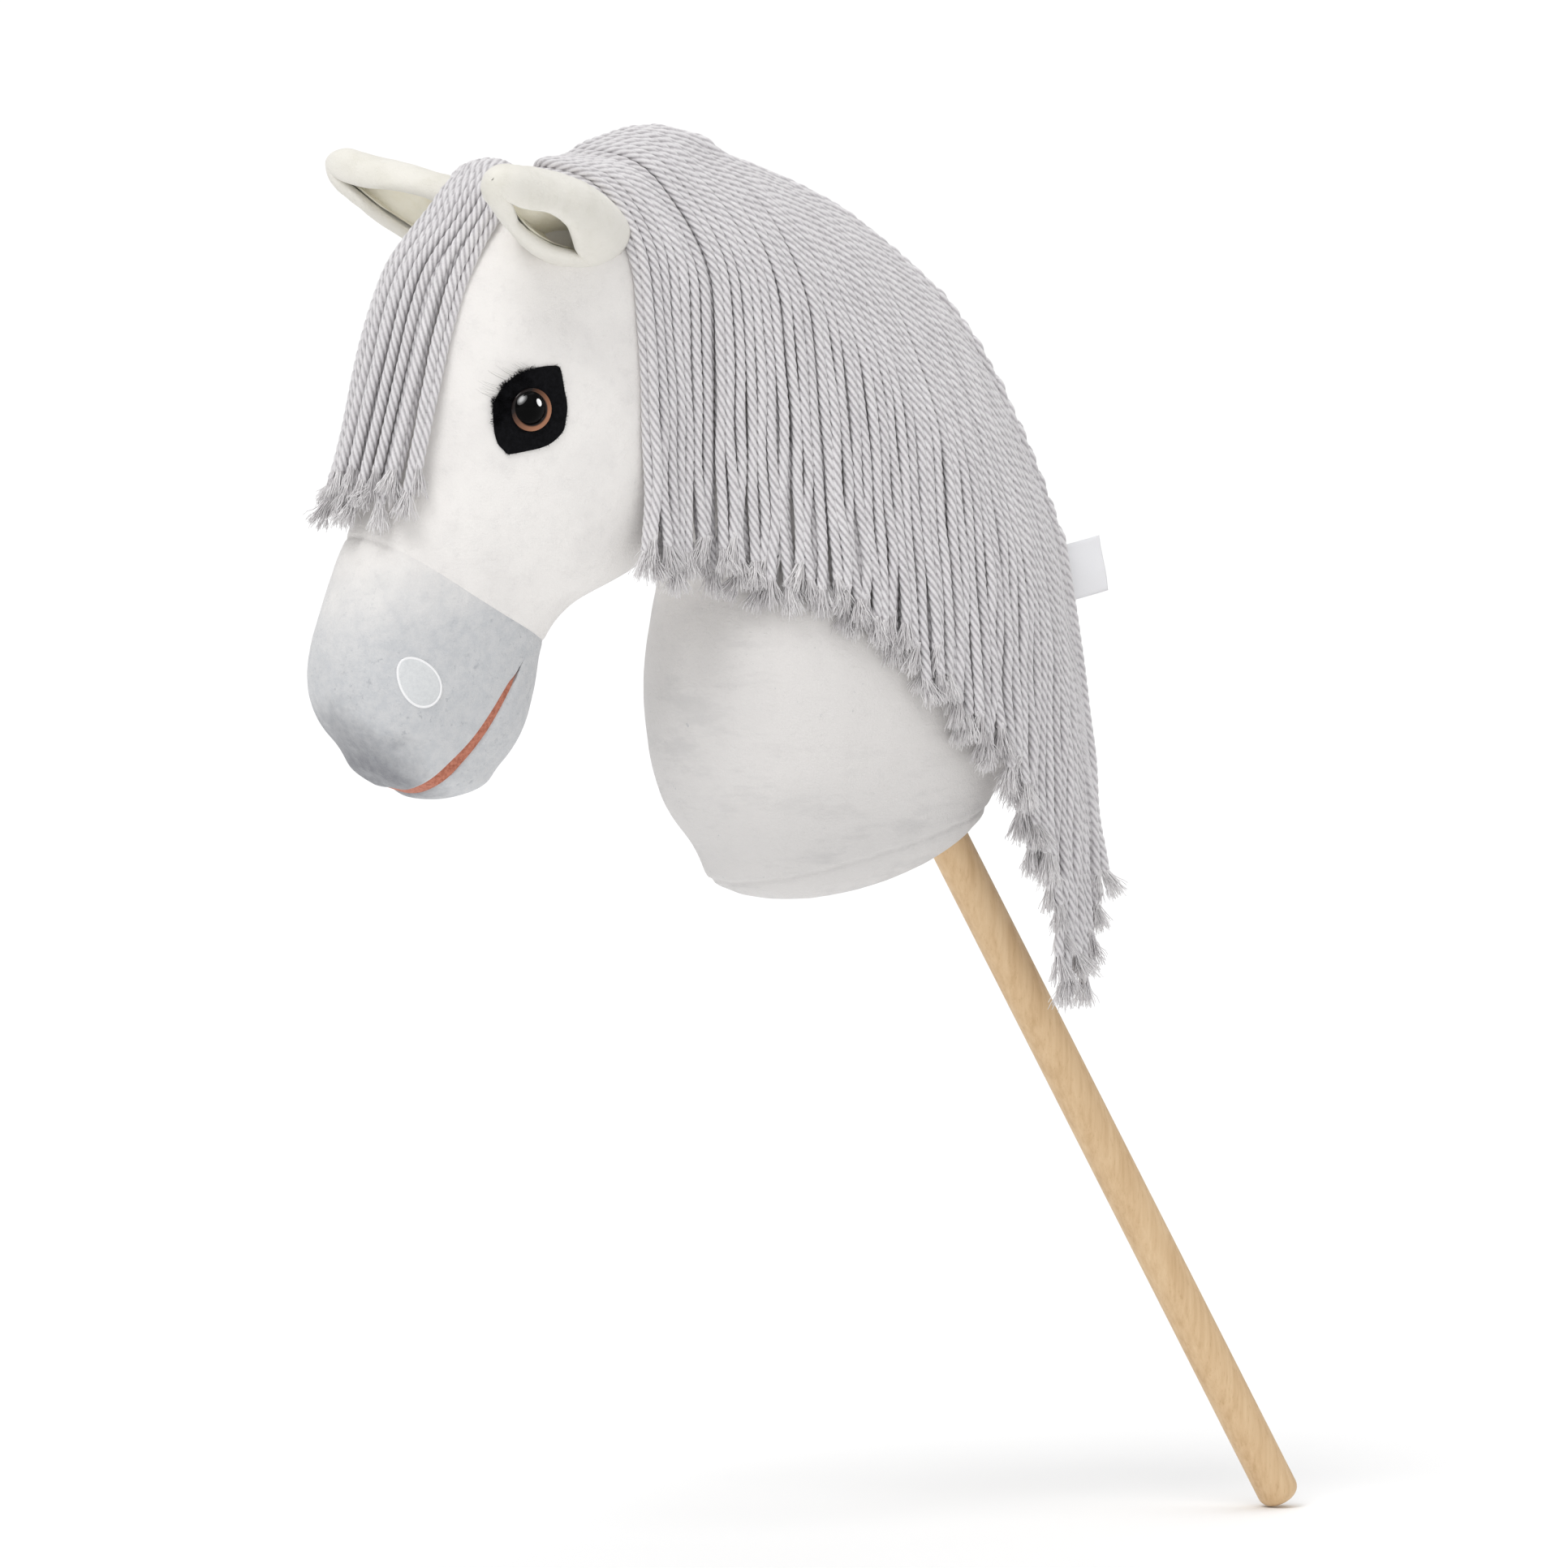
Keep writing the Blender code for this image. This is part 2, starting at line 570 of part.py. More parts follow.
def make_lashes(tree, side, label, skin):
    """Fine hairs fanned from a thread band along the patch's upper front edge."""
    lift = FELT + 2 * GAP
    inside = 0.94
    edge = smooth_rows(EYE_PATCH[0:4], LASH_COUNT) * inside
    centre = skin.translation
    verts, faces, roots = [], [], []
    normal = skin.to_3x3() @ Vector((0, 0, 1))
    for x, y in edge:
        start = skin @ Vector((x, y, TRIM_REACH))
        hit, _, _, _ = tree.ray_cast(start, -normal)
        roots.append(hit + normal * (lift + LASH_BAND / 2))
    band = tube_points(roots, LASH_BAND / 2, 4)
    piece = add_piece("eyelashes_" + label, *band, "black_felt")
    for i, root in enumerate(roots):
        t = i / (LASH_COUNT - 1)
        fan = (root - centre - normal * (root - centre).dot(normal)).normalized()
        forward = Vector((-0.5, 0, 0.25 + 0.5 * t))
        along = (fan * LASH_LEAN[0] + forward * LASH_LEAN[1] + normal * LASH_LEAN[2]).normalized()
        bend = normal * (LASH_LENGTH * 0.12)
        points = [root, root + along * LASH_LENGTH * 0.5 + bend, root + along * LASH_LENGTH]
        hair = guide("lash_%s_%02d" % (label, i), *tube_points(points, LASH_RADIUS, 3, 0.5))
        boolean(piece, hair, 'UNION')


def tube_points(points, radius, sides, end_scale=1.0, start_scale=1.0):
    """A closed tube of few sides along points, its sections kept upright to the path."""
    points = [Vector(p) for p in points]
    verts = []
    side_way = None
    for i, point in enumerate(points):
        before, after = points[max(i - 1, 0)], points[min(i + 1, len(points) - 1)]
        run = (after - before).normalized()
        if side_way is None:
            side_way = run.orthogonal().normalized()
        side_way = (side_way - run * side_way.dot(run)).normalized()
        other = run.cross(side_way)
        size = radius * (start_scale if i == 0 else end_scale if i == len(points) - 1 else 1.0)
        for j in range(sides):
            turn = 2 * math.pi * (j + 0.5) / sides
            verts.append(point + side_way * (math.cos(turn) * size) + other * (math.sin(turn) * size))
    faces = grid_faces(len(points), sides)
    faces.append(tuple(range(sides))[::-1])
    faces.append(tuple(range((len(points) - 1) * sides, len(points) * sides)))
    return verts, faces


def egg(half_length, half_width, count=28):
    """An egg outline, narrower at its upper end, leaning forward."""
    points = []
    for k in range(count):
        turn = 2 * math.pi * k / count
        y = half_length * math.sin(turn)
        x = half_width * math.cos(turn) * (1 - NOSTRIL_POINT * math.sin(turn))
        points.append((x * math.cos(NOSTRIL_LEAN) - y * math.sin(NOSTRIL_LEAN),
                       x * math.sin(NOSTRIL_LEAN) + y * math.cos(NOSTRIL_LEAN)))
    return points


def make_nostrils(tree, form):
    inner = offset_guide("nostril_inner", form, GAP)
    flat = offset_guide("nostril_flat", form, GAP + NOSTRIL_FELT)
    raised = offset_guide("nostril_raised", form, GAP + RIM_HEIGHT)
    for side, label in ((-1, "left"), (1, "right")):
        point, normal = side_point(tree, *NOSTRIL_PLACE, side)
        frame = face_frame(point, normal, side)
        patch = add_piece("nostril_" + label,
                          *prism(egg(NOSTRIL_HALF_LENGTH, NOSTRIL_HALF_WIDTH), -TRIM_REACH, TRIM_REACH),
                          "pale_felt", frame, smooth=False)
        keep_inside(patch, flat)
        cut(patch, inner)
        outer = egg(NOSTRIL_HALF_LENGTH + GAP + RIM_WIDTH, NOSTRIL_HALF_WIDTH + GAP + RIM_WIDTH)
        hole = egg(NOSTRIL_HALF_LENGTH + GAP, NOSTRIL_HALF_WIDTH + GAP)
        rim = add_piece("nostril_rim_" + label, *ring_prism(outer, hole, -TRIM_REACH, TRIM_REACH),
                        "white_thread", frame, smooth=False)
        keep_inside(rim, raised)
        cut(rim, inner)


def crest_line(tree, count):
    """Points on the crest in the mirror plane, from the poll back and down to the label.

    They are spaced by what shows from the side, so they lie further apart where the crest is steep.
    """
    points = []
    for turn in np.radians(np.linspace(-75, 100, 500)):
        way = Vector((math.sin(turn), 0, math.cos(turn)))
        hit, _, _, _ = tree.ray_cast(CREST_PIVOT + way * FAR, -way)
        points.append(hit)
    lowest = LABEL_HEIGHT + LABEL_WIDTH / 2 + MANE_ABOVE_LABEL
    rows = np.array([tuple(p) for p in points if p.x >= MANE_ROOT_FRONT
                     and (p.x < CREST_PIVOT.x or p.z > lowest)])
    run = run_along(rows * np.array([1, 0, CREST_STEEPNESS]))
    place = np.linspace(0, run[-1], count)
    return np.column_stack([np.interp(place, run, rows[:, k]) for k in range(3)])


def run_along(rows):
    return np.concatenate([[0], np.cumsum(np.linalg.norm(np.diff(rows, axis=0), axis=1))])


def cord_spread(i):
    """A cord's own share of the spread in length, between -1 and 1."""
    return math.sin(i * 12.9898) * 0.6 + math.sin(i * 4.137) * 0.4


def drape_frame(point, root, outward):
    """The point inside the form from which a cord at `point` is pushed out, and the way it is pushed.

    The way turns from straight up over the root to `outward` at the side, and stays so below.
    """
    centre = point - outward * (point - root).dot(outward)
    centre.z = min(point.z, root.z - DRAPE_DEPTH)
    way = point - centre
    return centre, way.normalized() if way.length > GAP else outward


def surface_reach(trees, centre, way):
    """How far the outermost of the trees lies from the centre along the way."""
    reach = 0.0
    for tree in trees:
        hit, _, _, _ = tree.ray_cast(centre + way * FAR, -way)
        if hit is not None:
            reach = max(reach, (hit - centre).dot(way))
    return reach


def draped(trees, root, outward, across, drift, settle, low, flare=0.0):
    """A cord from its root over what lies below it, and down to the height `low`.

    It follows the form near its root and while it rests on it, and hangs straight down where it is free.
    Once out of its tape it also moves by `drift` along `across`, over a length of `settle`.
    """
    root, down = Vector(root), Vector((0, 0, -1))
    point, path, travelled, moved, rests = root.copy(), [root.copy()], 0.0, 0.0, True
    step = CORD_DIAMETER / 2
    while point.z > low:
        _, way = drape_frame(point, root, outward)
        course = outward * way.z + down * way.dot(outward) if rests or travelled < ROOT_STAND else down
        travelled += step
        left = 1 - min(max(travelled - TAPE_WIDTH, 0.0) / settle, 1.0)
        shift = drift * (1 - left ** DRIFT_EASE)
        point = point + course * step + across * (shift - moved)
        moved = shift
        centre, way = drape_frame(point, root, outward)
        reach = surface_reach(trees, centre, way)
        rests = (point - centre).length < reach
        if rests:
            point = centre + way * reach
        springy = max((root.z - point.z) / (root.z - low) - 0.35, 0.0) ** 1.5 * 1.9
        path.append(point + outward * (flare * springy))
    rows = np.array([tuple(p) for p in path])
    run = run_along(rows)
    place = ROOT_STAND + (run[-1] - ROOT_STAND) * np.linspace(0, 1, CORD_POINTS - 1) ** 1.4
    place = np.concatenate([[0], place])
    return np.column_stack([np.interp(place, run, rows[:, k]) for k in range(3)])


def pushed_clear(trees, rows, outward):
    """Move the points of a path out until its straight stretches clear what lies below.

    The first stretch, which starts inside the tape, stays as it is.
    """
    root = Vector(rows[0])
    for _ in range(3):
        for i in range(1, len(rows) - 1):
            short = 0.0
            for share in np.linspace(0.0, 1.0, 9):
                point = Vector(rows[i] + (rows[i + 1] - rows[i]) * share)
                centre, way = drape_frame(point, root, outward)
                short = max(short, surface_reach(trees, centre, way) - (point - centre).length)
            for k in (i, i + 1):
                _, way = drape_frame(Vector(rows[k]), root, outward)
                rows[k] += np.array(way) * short
    return rows


def joined(shapes):
    verts, faces = [], []
    for shape_verts, shape_faces in shapes:
        first = len(verts)
        verts += [Vector(v) for v in shape_verts]
        faces += [tuple(first + i for i in face) for face in shape_faces]
    return verts, faces


def cord_tube(rows):
    return tube_points(rows, CORD_DIAMETER / 2, CORD_SIDES, start_scale=CORD_PINCH)


def clear_tree(rows):
    """The space that other cords' middle lines keep out of, round one cord outside its tape."""
    radius = (CORD_DIAMETER + GAP) / math.cos(math.pi / 8)
    free = np.vstack([(rows[0] + rows[1]) / 2, rows[1:]])
    return BVHTree.FromPolygons(*tube_points(free, radius, 8))


def laid_cords(trees, roots, outward, across, drifts, settles, lows, flare=0.0):
    """Every second cord first, from the last to the first, and then the ones that lie on them."""
    cords, laid = {}, []
    count = len(roots)
    for first in (0, 1):
        for i in reversed(range(first, count, 2)):
            rows = draped(trees + laid, roots[i], outward, across, drifts[i], settles[i], lows[i],
                          flare)
            cords[i] = pushed_clear(trees + laid, rows, outward)
            laid.append(clear_tree(cords[i]))
    return cords


def root_heights(count):
    """Heights of the roots over the skin: the upper cords lie in the grooves of the lower ones."""
    lower = CORD_DIAMETER / 2 + 2 * GAP
    upper = lower + CORD_DIAMETER * 0.80
    return [upper if i % 2 else lower for i in range(count)]


def make_mane(tree, blocks):
    """Cords in two layers, fused to a sewn tape on the crest."""
    crest = crest_line(tree, MANE_CORDS + 1)
    normals = crest_normals(crest)
    heights = root_heights(MANE_CORDS)
    middles, ways = (crest[:-1] + crest[1:]) / 2, (normals[:-1] + normals[1:]) / 2
    roots = [m + w * h for m, w, h in zip(middles, ways, heights)]
    hang = np.linspace(MANE_HANG_FRONT, MANE_HANG_BACK, MANE_CORDS)
    drifts = [h - r[0] for h, r in zip(hang, roots)]
    settles = np.geomspace(*MANE_SETTLE, MANE_CORDS)
    lows = np.interp(hang, *np.transpose(MANE_FRINGE))
    lows += [CORD_SPREAD * cord_spread(i) for i in range(MANE_CORDS)]
    cords = laid_cords(blocks, roots, Vector((0, -1, 0)), Vector((1, 0, 0)), drifts, settles, lows)
    per_section = MANE_CORDS // MANE_SECTIONS
    for section in range(MANE_SECTIONS):
        first, last = section * per_section, (section + 1) * per_section
        name = "mane_%d" % (section + 1)
        piece = add_piece(name, *tape_slice(crest, normals, first, last), "grey_cord", smooth=False)
        tubes = [cord_tube(cords[i]) for i in range(first, last)]
        boolean(piece, guide(name + "_cords", *joined(tubes)), 'UNION')


def crest_normals(crest):
    run = np.gradient(crest, axis=0)
    run /= np.linalg.norm(run, axis=1)[:, None]
    return np.column_stack([-run[:, 2], np.zeros(len(run)), run[:, 0]])


def tape_slice(crest, normals, first, last):
    half = TAPE_WIDTH / 2
    verts = []
    for i in range(first, last + 1):
        step = crest[min(i + 1, last)] - crest[max(i - 1, first)]
        inset = step / np.linalg.norm(step) * GAP / 2
        base = crest[i] + inset * ((i == first) - (i == last))
        low = base + normals[i] * 2 * GAP
        high = base + normals[i] * TAPE_HEIGHT
        for point, y in ((low, -half), (high, -half), (high, half), (low, half)):
            verts.append((point[0], y, point[2]))
    count = last - first + 1
    faces = grid_faces(count, 4)
    faces.append((0, 1, 2, 3))
    faces.append(tuple(range((count - 1) * 4, count * 4)))
    return verts, faces


def make_forelock(tree, blocks):
    """Cords from a short band across the poll, over the forehead in two layers."""
    shares = np.linspace(-0.5, 0.5, FORELOCK_CORDS)
    heights = root_heights(FORELOCK_CORDS)
    roots, band = [], []
    for share, height in zip(shares, heights):
        hit, normal, _, _ = tree.ray_cast(Vector((FORELOCK_ROOT, share * FORELOCK_ROOT_WIDTH, FAR)),
                                          Vector((0, 0, -1)))
        normal = Vector((normal.x, 0, normal.z)).normalized()
        roots.append(hit + normal * height)
        band.append((hit, normal))
    drifts = shares * (FORELOCK_HANG_WIDTH - FORELOCK_ROOT_WIDTH)
    settles = [FORELOCK_SETTLE] * FORELOCK_CORDS
    lows = [FORELOCK_END + CORD_SPREAD * cord_spread(i) for i in range(FORELOCK_CORDS)]
    cords = laid_cords(blocks, roots, Vector((-1, 0, 0)), Vector((0, 1, 0)), drifts, settles, lows,
                       FORELOCK_FLARE)
    half, verts = TAPE_WIDTH / 2, []
    for i, (point, normal) in enumerate(band):
        end = Vector((0, CORD_DIAMETER * 0.7 * ((i == FORELOCK_CORDS - 1) - (i == 0)), 0))
        along = Vector((normal.z, 0, -normal.x)) * half
        low, high = point + end + normal * 2 * GAP, point + end + normal * TAPE_HEIGHT
        verts += [low - along, high - along, high + along, low + along]
    count = len(band)
    faces = grid_faces(count, 4)
    faces.append((0, 1, 2, 3))
    faces.append(tuple(range((count - 1) * 4, count * 4)))
    piece = add_piece("forelock", verts, faces, "grey_cord", smooth=False)
    tubes = [cord_tube(cords[i]) for i in range(FORELOCK_CORDS)]
    boolean(piece, guide("forelock_cords", *joined(tubes)), 'UNION')


def make_label(tree, space, reach):
    """The label, and the space round it that the cords' middle lines keep out of."""
    hit, _, _, _ = tree.ray_cast(Vector((FAR, 0, LABEL_HEIGHT)), Vector((-1, 0, 0)))
    turn = Matrix.Rotation(math.pi / 2, 4, 'X') @ Matrix.Rotation(-LABEL_TILT, 4, 'Z')
    place = Matrix.Translation(hit) @ turn
    forms = []
    for grow in (0.0, reach):
        half, end, thick = LABEL_WIDTH / 2 + grow, LABEL_LENGTH + grow, LABEL_THICKNESS / 2 + grow
        outline = [(-LABEL_TUCK, -half), (end, -half), (end, half), (-LABEL_TUCK, half)]
        forms.append(prism(outline, -thick, thick))
    label = add_piece("care_label", *forms[0], "white_satin", place, smooth=False)
    cut(label, space)
    return guide("label_cord_space", *forms[1], place)


clear_scene()
STICK_FRAME = Matrix.Rotation(-STICK_LEAN, 4, 'Y')
SLEEVE_TOP = STICK_LENGTH - GRIP_ABOVE_FOOT + GAP + SLEEVE_WALL

stick_bore = make_stick()
neck = make_neck(stick_bore)
head = make_head(neck)
skin_tree = tree_of([head, neck])
head_tree = tree_of([head])
neck_tree = tree_of([neck])
neck_space = bpy.data.objects["neck_space"]
head_space = offset_guide("head_space", head, GAP)
felt_skins = (head_space, offset_guide("felt_skin", head, GAP + FELT))
make_ears(head_tree, (head_space, neck_space))
make_eyes(head_tree, head, felt_skins)
make_nostrils(head_tree, head)
cord_reach = CORD_DIAMETER / 2 + 2 * GAP
clear_radius = STICK_DIAMETER / 2 + cord_reach
stick_space = guide("stick_space", *turned([(0, -FAR), (clear_radius, -FAR), (clear_radius, SLEEVE_TOP),
                                            (0, SLEEVE_TOP)]), STICK_FRAME)
label_space = make_label(neck_tree, neck_space, cord_reach)
cord_blocks = [tree_of([offset_guide("neck_cord_space", neck, cord_reach)]),
               tree_of([offset_guide("head_cord_space", head, cord_reach)]),
               tree_of([stick_space]), tree_of([label_space])]
make_mane(skin_tree, cord_blocks)
make_forelock(skin_tree, cord_blocks)
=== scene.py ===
import math

import bmesh
import bpy
import numpy as np
from mathutils import Matrix, Vector
from mathutils.bvhtree import BVHTree


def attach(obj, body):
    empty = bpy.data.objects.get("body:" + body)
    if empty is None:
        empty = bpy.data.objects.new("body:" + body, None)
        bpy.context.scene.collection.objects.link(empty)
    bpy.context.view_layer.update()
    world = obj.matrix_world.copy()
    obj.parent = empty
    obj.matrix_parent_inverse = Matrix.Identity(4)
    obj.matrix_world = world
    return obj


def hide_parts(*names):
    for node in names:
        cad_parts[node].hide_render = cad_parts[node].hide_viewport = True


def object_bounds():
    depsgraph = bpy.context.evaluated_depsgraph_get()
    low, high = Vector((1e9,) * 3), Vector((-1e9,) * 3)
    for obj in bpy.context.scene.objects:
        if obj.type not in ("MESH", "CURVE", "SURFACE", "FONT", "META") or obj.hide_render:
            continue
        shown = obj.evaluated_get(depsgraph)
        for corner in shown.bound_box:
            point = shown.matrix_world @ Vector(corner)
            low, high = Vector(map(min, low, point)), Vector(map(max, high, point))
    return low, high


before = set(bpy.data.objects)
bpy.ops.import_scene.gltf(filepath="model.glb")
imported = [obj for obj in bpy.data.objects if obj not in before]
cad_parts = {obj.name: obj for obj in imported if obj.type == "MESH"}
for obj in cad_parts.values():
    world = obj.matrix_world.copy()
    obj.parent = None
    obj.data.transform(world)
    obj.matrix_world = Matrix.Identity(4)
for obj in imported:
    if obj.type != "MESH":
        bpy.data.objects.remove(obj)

cadBounds = [list(corner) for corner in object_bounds()]
print("frame loaded:", len(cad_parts), "nodes")

far, above = 1.0, 0.03       # where rays start: beyond the horse, or over its skin
left, right = -1, 1          # the horse's left is -Y
circle = 2 * np.pi


# Meshes from whole arrays

def linked(name, data):
    thing = bpy.data.objects.new(name, data)
    bpy.context.scene.collection.objects.link(thing)
    return thing


def newPiece(name, verts, faceSets, material=None, uv=None, tone=None, closes=None):
    # faceSets are integer arrays, one row a face; uv and tone hold one row a point; closes is (1, 0)
    # where U runs round a ring
    verts = np.asarray(verts, dtype=np.float32)
    corners = np.concatenate([faces.ravel() for faces in faceSets]).astype(np.int32)
    sizes = np.concatenate([np.full(len(faces), faces.shape[1]) for faces in faceSets])
    first = np.cumsum(sizes) - sizes
    mesh = bpy.data.meshes.new(name)
    mesh.vertices.add(len(verts))
    mesh.vertices.foreach_set("co", verts.ravel())
    mesh.loops.add(len(corners))
    mesh.loops.foreach_set("vertex_index", corners)
    mesh.polygons.add(len(sizes))
    mesh.polygons.foreach_set("loop_start", first.astype(np.int32))
    mesh.update(calc_edges=True)
    mesh.shade_smooth()
    if uv is not None:
        rows = np.asarray(uv, dtype=np.float32)[corners]
        if closes:           # a face that closes a ring runs on past 1 instead of back to 0
            highest = np.repeat(np.maximum.reduceat(rows, first), sizes, axis=0)
            rows += (highest - rows > 0.5) * np.array(closes, dtype=np.float32)
        mesh.uv_layers.new(name="UVMap").data.foreach_set("uv", rows.ravel())
    if tone is not None:
        layer = mesh.attributes.new("tone", 'FLOAT', 'POINT')
        layer.data.foreach_set("value", np.asarray(tone, dtype=np.float32))
    if material:
        mesh.materials.append(material)
    return linked(name, mesh)


def gridQuads(rows, columns, closed=True, looped=False):
    # quads between neighbouring rows of a grid; closed joins its columns' ends and looped its rows'
    i = np.arange(rows if looped else rows - 1)[:, None] * columns
    j = np.arange(columns if closed else columns - 1)[None]
    k, after = (j + 1) % columns, (i + columns) % (rows * columns)
    return gridRows(i + j, i + k, after + k, after + j)


def endCaps(rows, columns):
    # one face over a grid's first row and one over its last
    ring = np.arange(columns)
    return np.vstack([ring[::-1], (rows - 1) * columns + ring])


def closedGrid(rows, columns, facing=1):
    # its quads and its two end faces, which look the other way with -1
    return [gridQuads(rows, columns), endCaps(rows, columns)[:, ::facing]]


def gridRows(*columns):
    # one row for each point of the grid
    return np.stack(np.broadcast_arrays(*columns), axis=-1).reshape(-1, len(columns))


def around(count):
    return np.linspace(0, circle, count, endpoint=False)


def readRows(items, key, width, kind=np.int32):
    rows = np.empty(len(items) * width, dtype=kind)
    items.foreach_get(key, rows)
    return rows.reshape(-1, width)


def shapeOf(mesh):
    shape = bmesh.new()
    shape.from_mesh(mesh)
    return shape


def written(shape, mesh):
    shape.to_mesh(mesh)
    shape.free()
    return mesh


def fixNormals(piece):
    shape = shapeOf(piece.data)
    bmesh.ops.recalc_face_normals(shape, faces=shape.faces)
    written(shape, piece.data).shade_smooth()
    return piece


def pointNormals(verts, quads):
    # each point's normal: the sum of the cross products of its quads' diagonals
    across = np.cross(verts[quads[:, 2]] - verts[quads[:, 0]], verts[quads[:, 3]] - verts[quads[:, 1]])
    return unit(np.column_stack([np.bincount(quads.ravel(), np.repeat(across[:, k], 4), len(verts))
                                 for k in range(3)]))


def unit(vectors):
    return vectors / np.maximum(np.linalg.norm(vectors, axis=-1, keepdims=True), 1e-12)


def catmullRom(rows, places, closed=False):
    # between rows b and c the cubic with tangents (c - a) / 2 and (d - b) / 2
    rows = np.asarray(rows, dtype=float)
    before, after = (rows[-1], rows[:2]) if closed else (2 * rows[0] - rows[1], 2 * rows[-1] - rows[-2])
    padded = np.vstack([before, rows, after])
    index = np.clip(np.floor(places).astype(int), 0, len(padded) - 4)
    t = (places - index)[:, None]
    a, b, c, d = (padded[index + k] for k in range(4))
    return 0.5 * (2 * b + (c - a) * t + (2 * a - 5 * b + 4 * c - d) * t ** 2
                  + (3 * b - a - 3 * c + d) * t ** 3)


def smoothStep(value, low, high):
    t = np.clip((value - low) / (high - low), 0, 1)
    return t * t * (3 - 2 * t)


def softNoise(points, size, seed):
    # random values on a lattice of that size, blended along each axis by a smooth step
    lattice = np.random.default_rng(seed).uniform(-1, 1, (32, 32, 32))
    spots = np.asarray(points, dtype=float) / size
    cell = np.floor(spots).astype(int)
    share = smoothStep(spots - cell, 0, 1)
    total = np.zeros(len(spots))
    for corner in np.ndindex(2, 2, 2):
        weight = np.prod(np.where(np.array(corner) == 1, share, 1 - share), axis=1)
        total += lattice[tuple(((cell + corner) % 32).T)] * weight
    return total


def runAlong(path):
    # how far along the path each of its points is
    return np.concatenate([[0], np.cumsum(np.linalg.norm(np.diff(path, axis=0), axis=1))])


def readAt(spots, run, path):
    return np.column_stack([np.interp(spots, run, path[:, k]) for k in range(3)])


def tube(line, sideWay, otherWay, aside, out):
    # ring points: line + side way * aside + other way * out
    return (line[..., None, :] + sideWay[..., None, :] * aside[..., None]
            + otherWay[..., None, :] * out[..., None]).reshape(-1, 3)


def strands(paths, radii, seed=1, sides=3):
    # thin tubes along many paths at once
    count, steps, _ = paths.shape
    run = unit(np.gradient(paths, axis=1))
    sideWay = unit(np.cross(run, np.random.default_rng(seed).normal(size=(count, 1, 3))))
    turn = around(sides)
    reach = np.broadcast_to(radii, (count, steps))[..., None]
    verts = tube(paths, sideWay, np.cross(run, sideWay), reach * np.cos(turn), reach * np.sin(turn))
    first = (np.arange(count) * steps * sides)[:, None]
    return verts, [(gridQuads(steps, sides) + first[..., None]).reshape(-1, 4),
                   (endCaps(steps, sides)[:, None] + first).reshape(-1, sides)]


def dress(piece, slot, *nodes):
    # every piece of the horse rides on its one body
    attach(piece, "root")
    if nodes:
        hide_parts(*nodes)
    return piece


# Materials

def mathNode(operation, swapped=False):
    return lambda wire, other: wire.math(operation, *((other, wire) if swapped else (wire, other)))


class Wire:
    # one output socket; + - * on wires and numbers add Math nodes
    __add__, __radd__ = mathNode('ADD'), mathNode('ADD', True)
    __sub__, __rsub__ = mathNode('SUBTRACT'), mathNode('SUBTRACT', True)
    __mul__, __rmul__ = mathNode('MULTIPLY'), mathNode('MULTIPLY', True)

    def __init__(self, tree, socket):
        self.tree, self.socket = tree, socket

    def node(self, kind, inputs=(), out=0, **settings):
        made = self.tree.nodes.new("ShaderNode" + kind)
        for key, value in settings.items():
            setattr(made, key, value)
        for key, value in dict(inputs).items():
            if isinstance(value, Wire):
                self.tree.links.new(value.socket, made.inputs[key])
            else:
                made.inputs[key].default_value = value
        return Wire(self.tree, made.outputs[out])

    def math(self, operation, *values):
        return self.node("Math", enumerate(values), operation=operation)

    def sine(self):
        return self.math('SINE', self)

    def axis(self, letter):
        return self.node("SeparateXYZ", {0: self}, out=letter)

    def between(self, low, high, kind='SMOOTHSTEP'):
        # 0 below low, 1 above high
        return self.node("MapRange", {0: self, 1: low, 2: high}, interpolation_type=kind)

    def noise(self, scale, detail=3.0, roughness=0.55):
        return self.node("TexNoise", {"Vector": self, "Scale": scale, "Detail": detail,
                                      "Roughness": roughness})

    def stretched(self, scale, lean=0.0):
        return self.node("Mapping", {0: self, 2: (0.0, lean, 0.0), 3: scale})

    def blend(self, first, second):
        # first where this wire is 0, second where it is 1
        return self.node("Mix", {0: self, 6: first, 7: second}, out=2, data_type='RGBA')

    def ramp(self, finish, **places):
        # the finish's shades, each at its place along the wire
        made = self.node("ValToRGB", {0: self})
        elements = made.socket.node.color_ramp.elements
        for k, (shade, position) in enumerate(places.items()):
            element = elements[k] if k < 2 else elements.new(position)
            element.position, element.color = position, colour(*finish[shade])
        return made

    def bump(self, strength, distance):
        return self.node("Bump", {"Height": self, "Strength": strength, "Distance": distance})

    def uv(self):
        uv = self.node("TexCoord", out="UV")
        return uv.axis("X"), uv.axis("Y")

    def tone(self):
        return self.node("Attribute", attribute_name="tone", out="Fac")


def colour(*screen):
    # screen values from 0 to 255 as linear light
    shares = np.array(screen) / 255
    linear = np.where(shares <= 0.04045, shares / 12.92, ((shares + 0.055) / 1.055) ** 2.4)
    return (*linear, 1.0)


def newMaterial(name, base, roughness, **fixed):
    # the shader's fixed values by socket name; the wire holds the Object coordinates
    look = bpy.data.materials.new(name)
    look.use_nodes = True
    shader = look.node_tree.nodes["Principled BSDF"]
    for key, value in {"Base_Color": colour(*base), "Roughness": roughness, **fixed}.items():
        shader.inputs[key.replace("_", " ")].default_value = value
    return look, Wire(look.node_tree, shader.outputs[0]).node("TexCoord", out="Object")


def feed(look, **wires):
    shader = look.node_tree.nodes["Principled BSDF"]
    for key, wire in wires.items():
        look.node_tree.links.new(wire.socket, shader.inputs[key.replace("_", " ")])
    return look


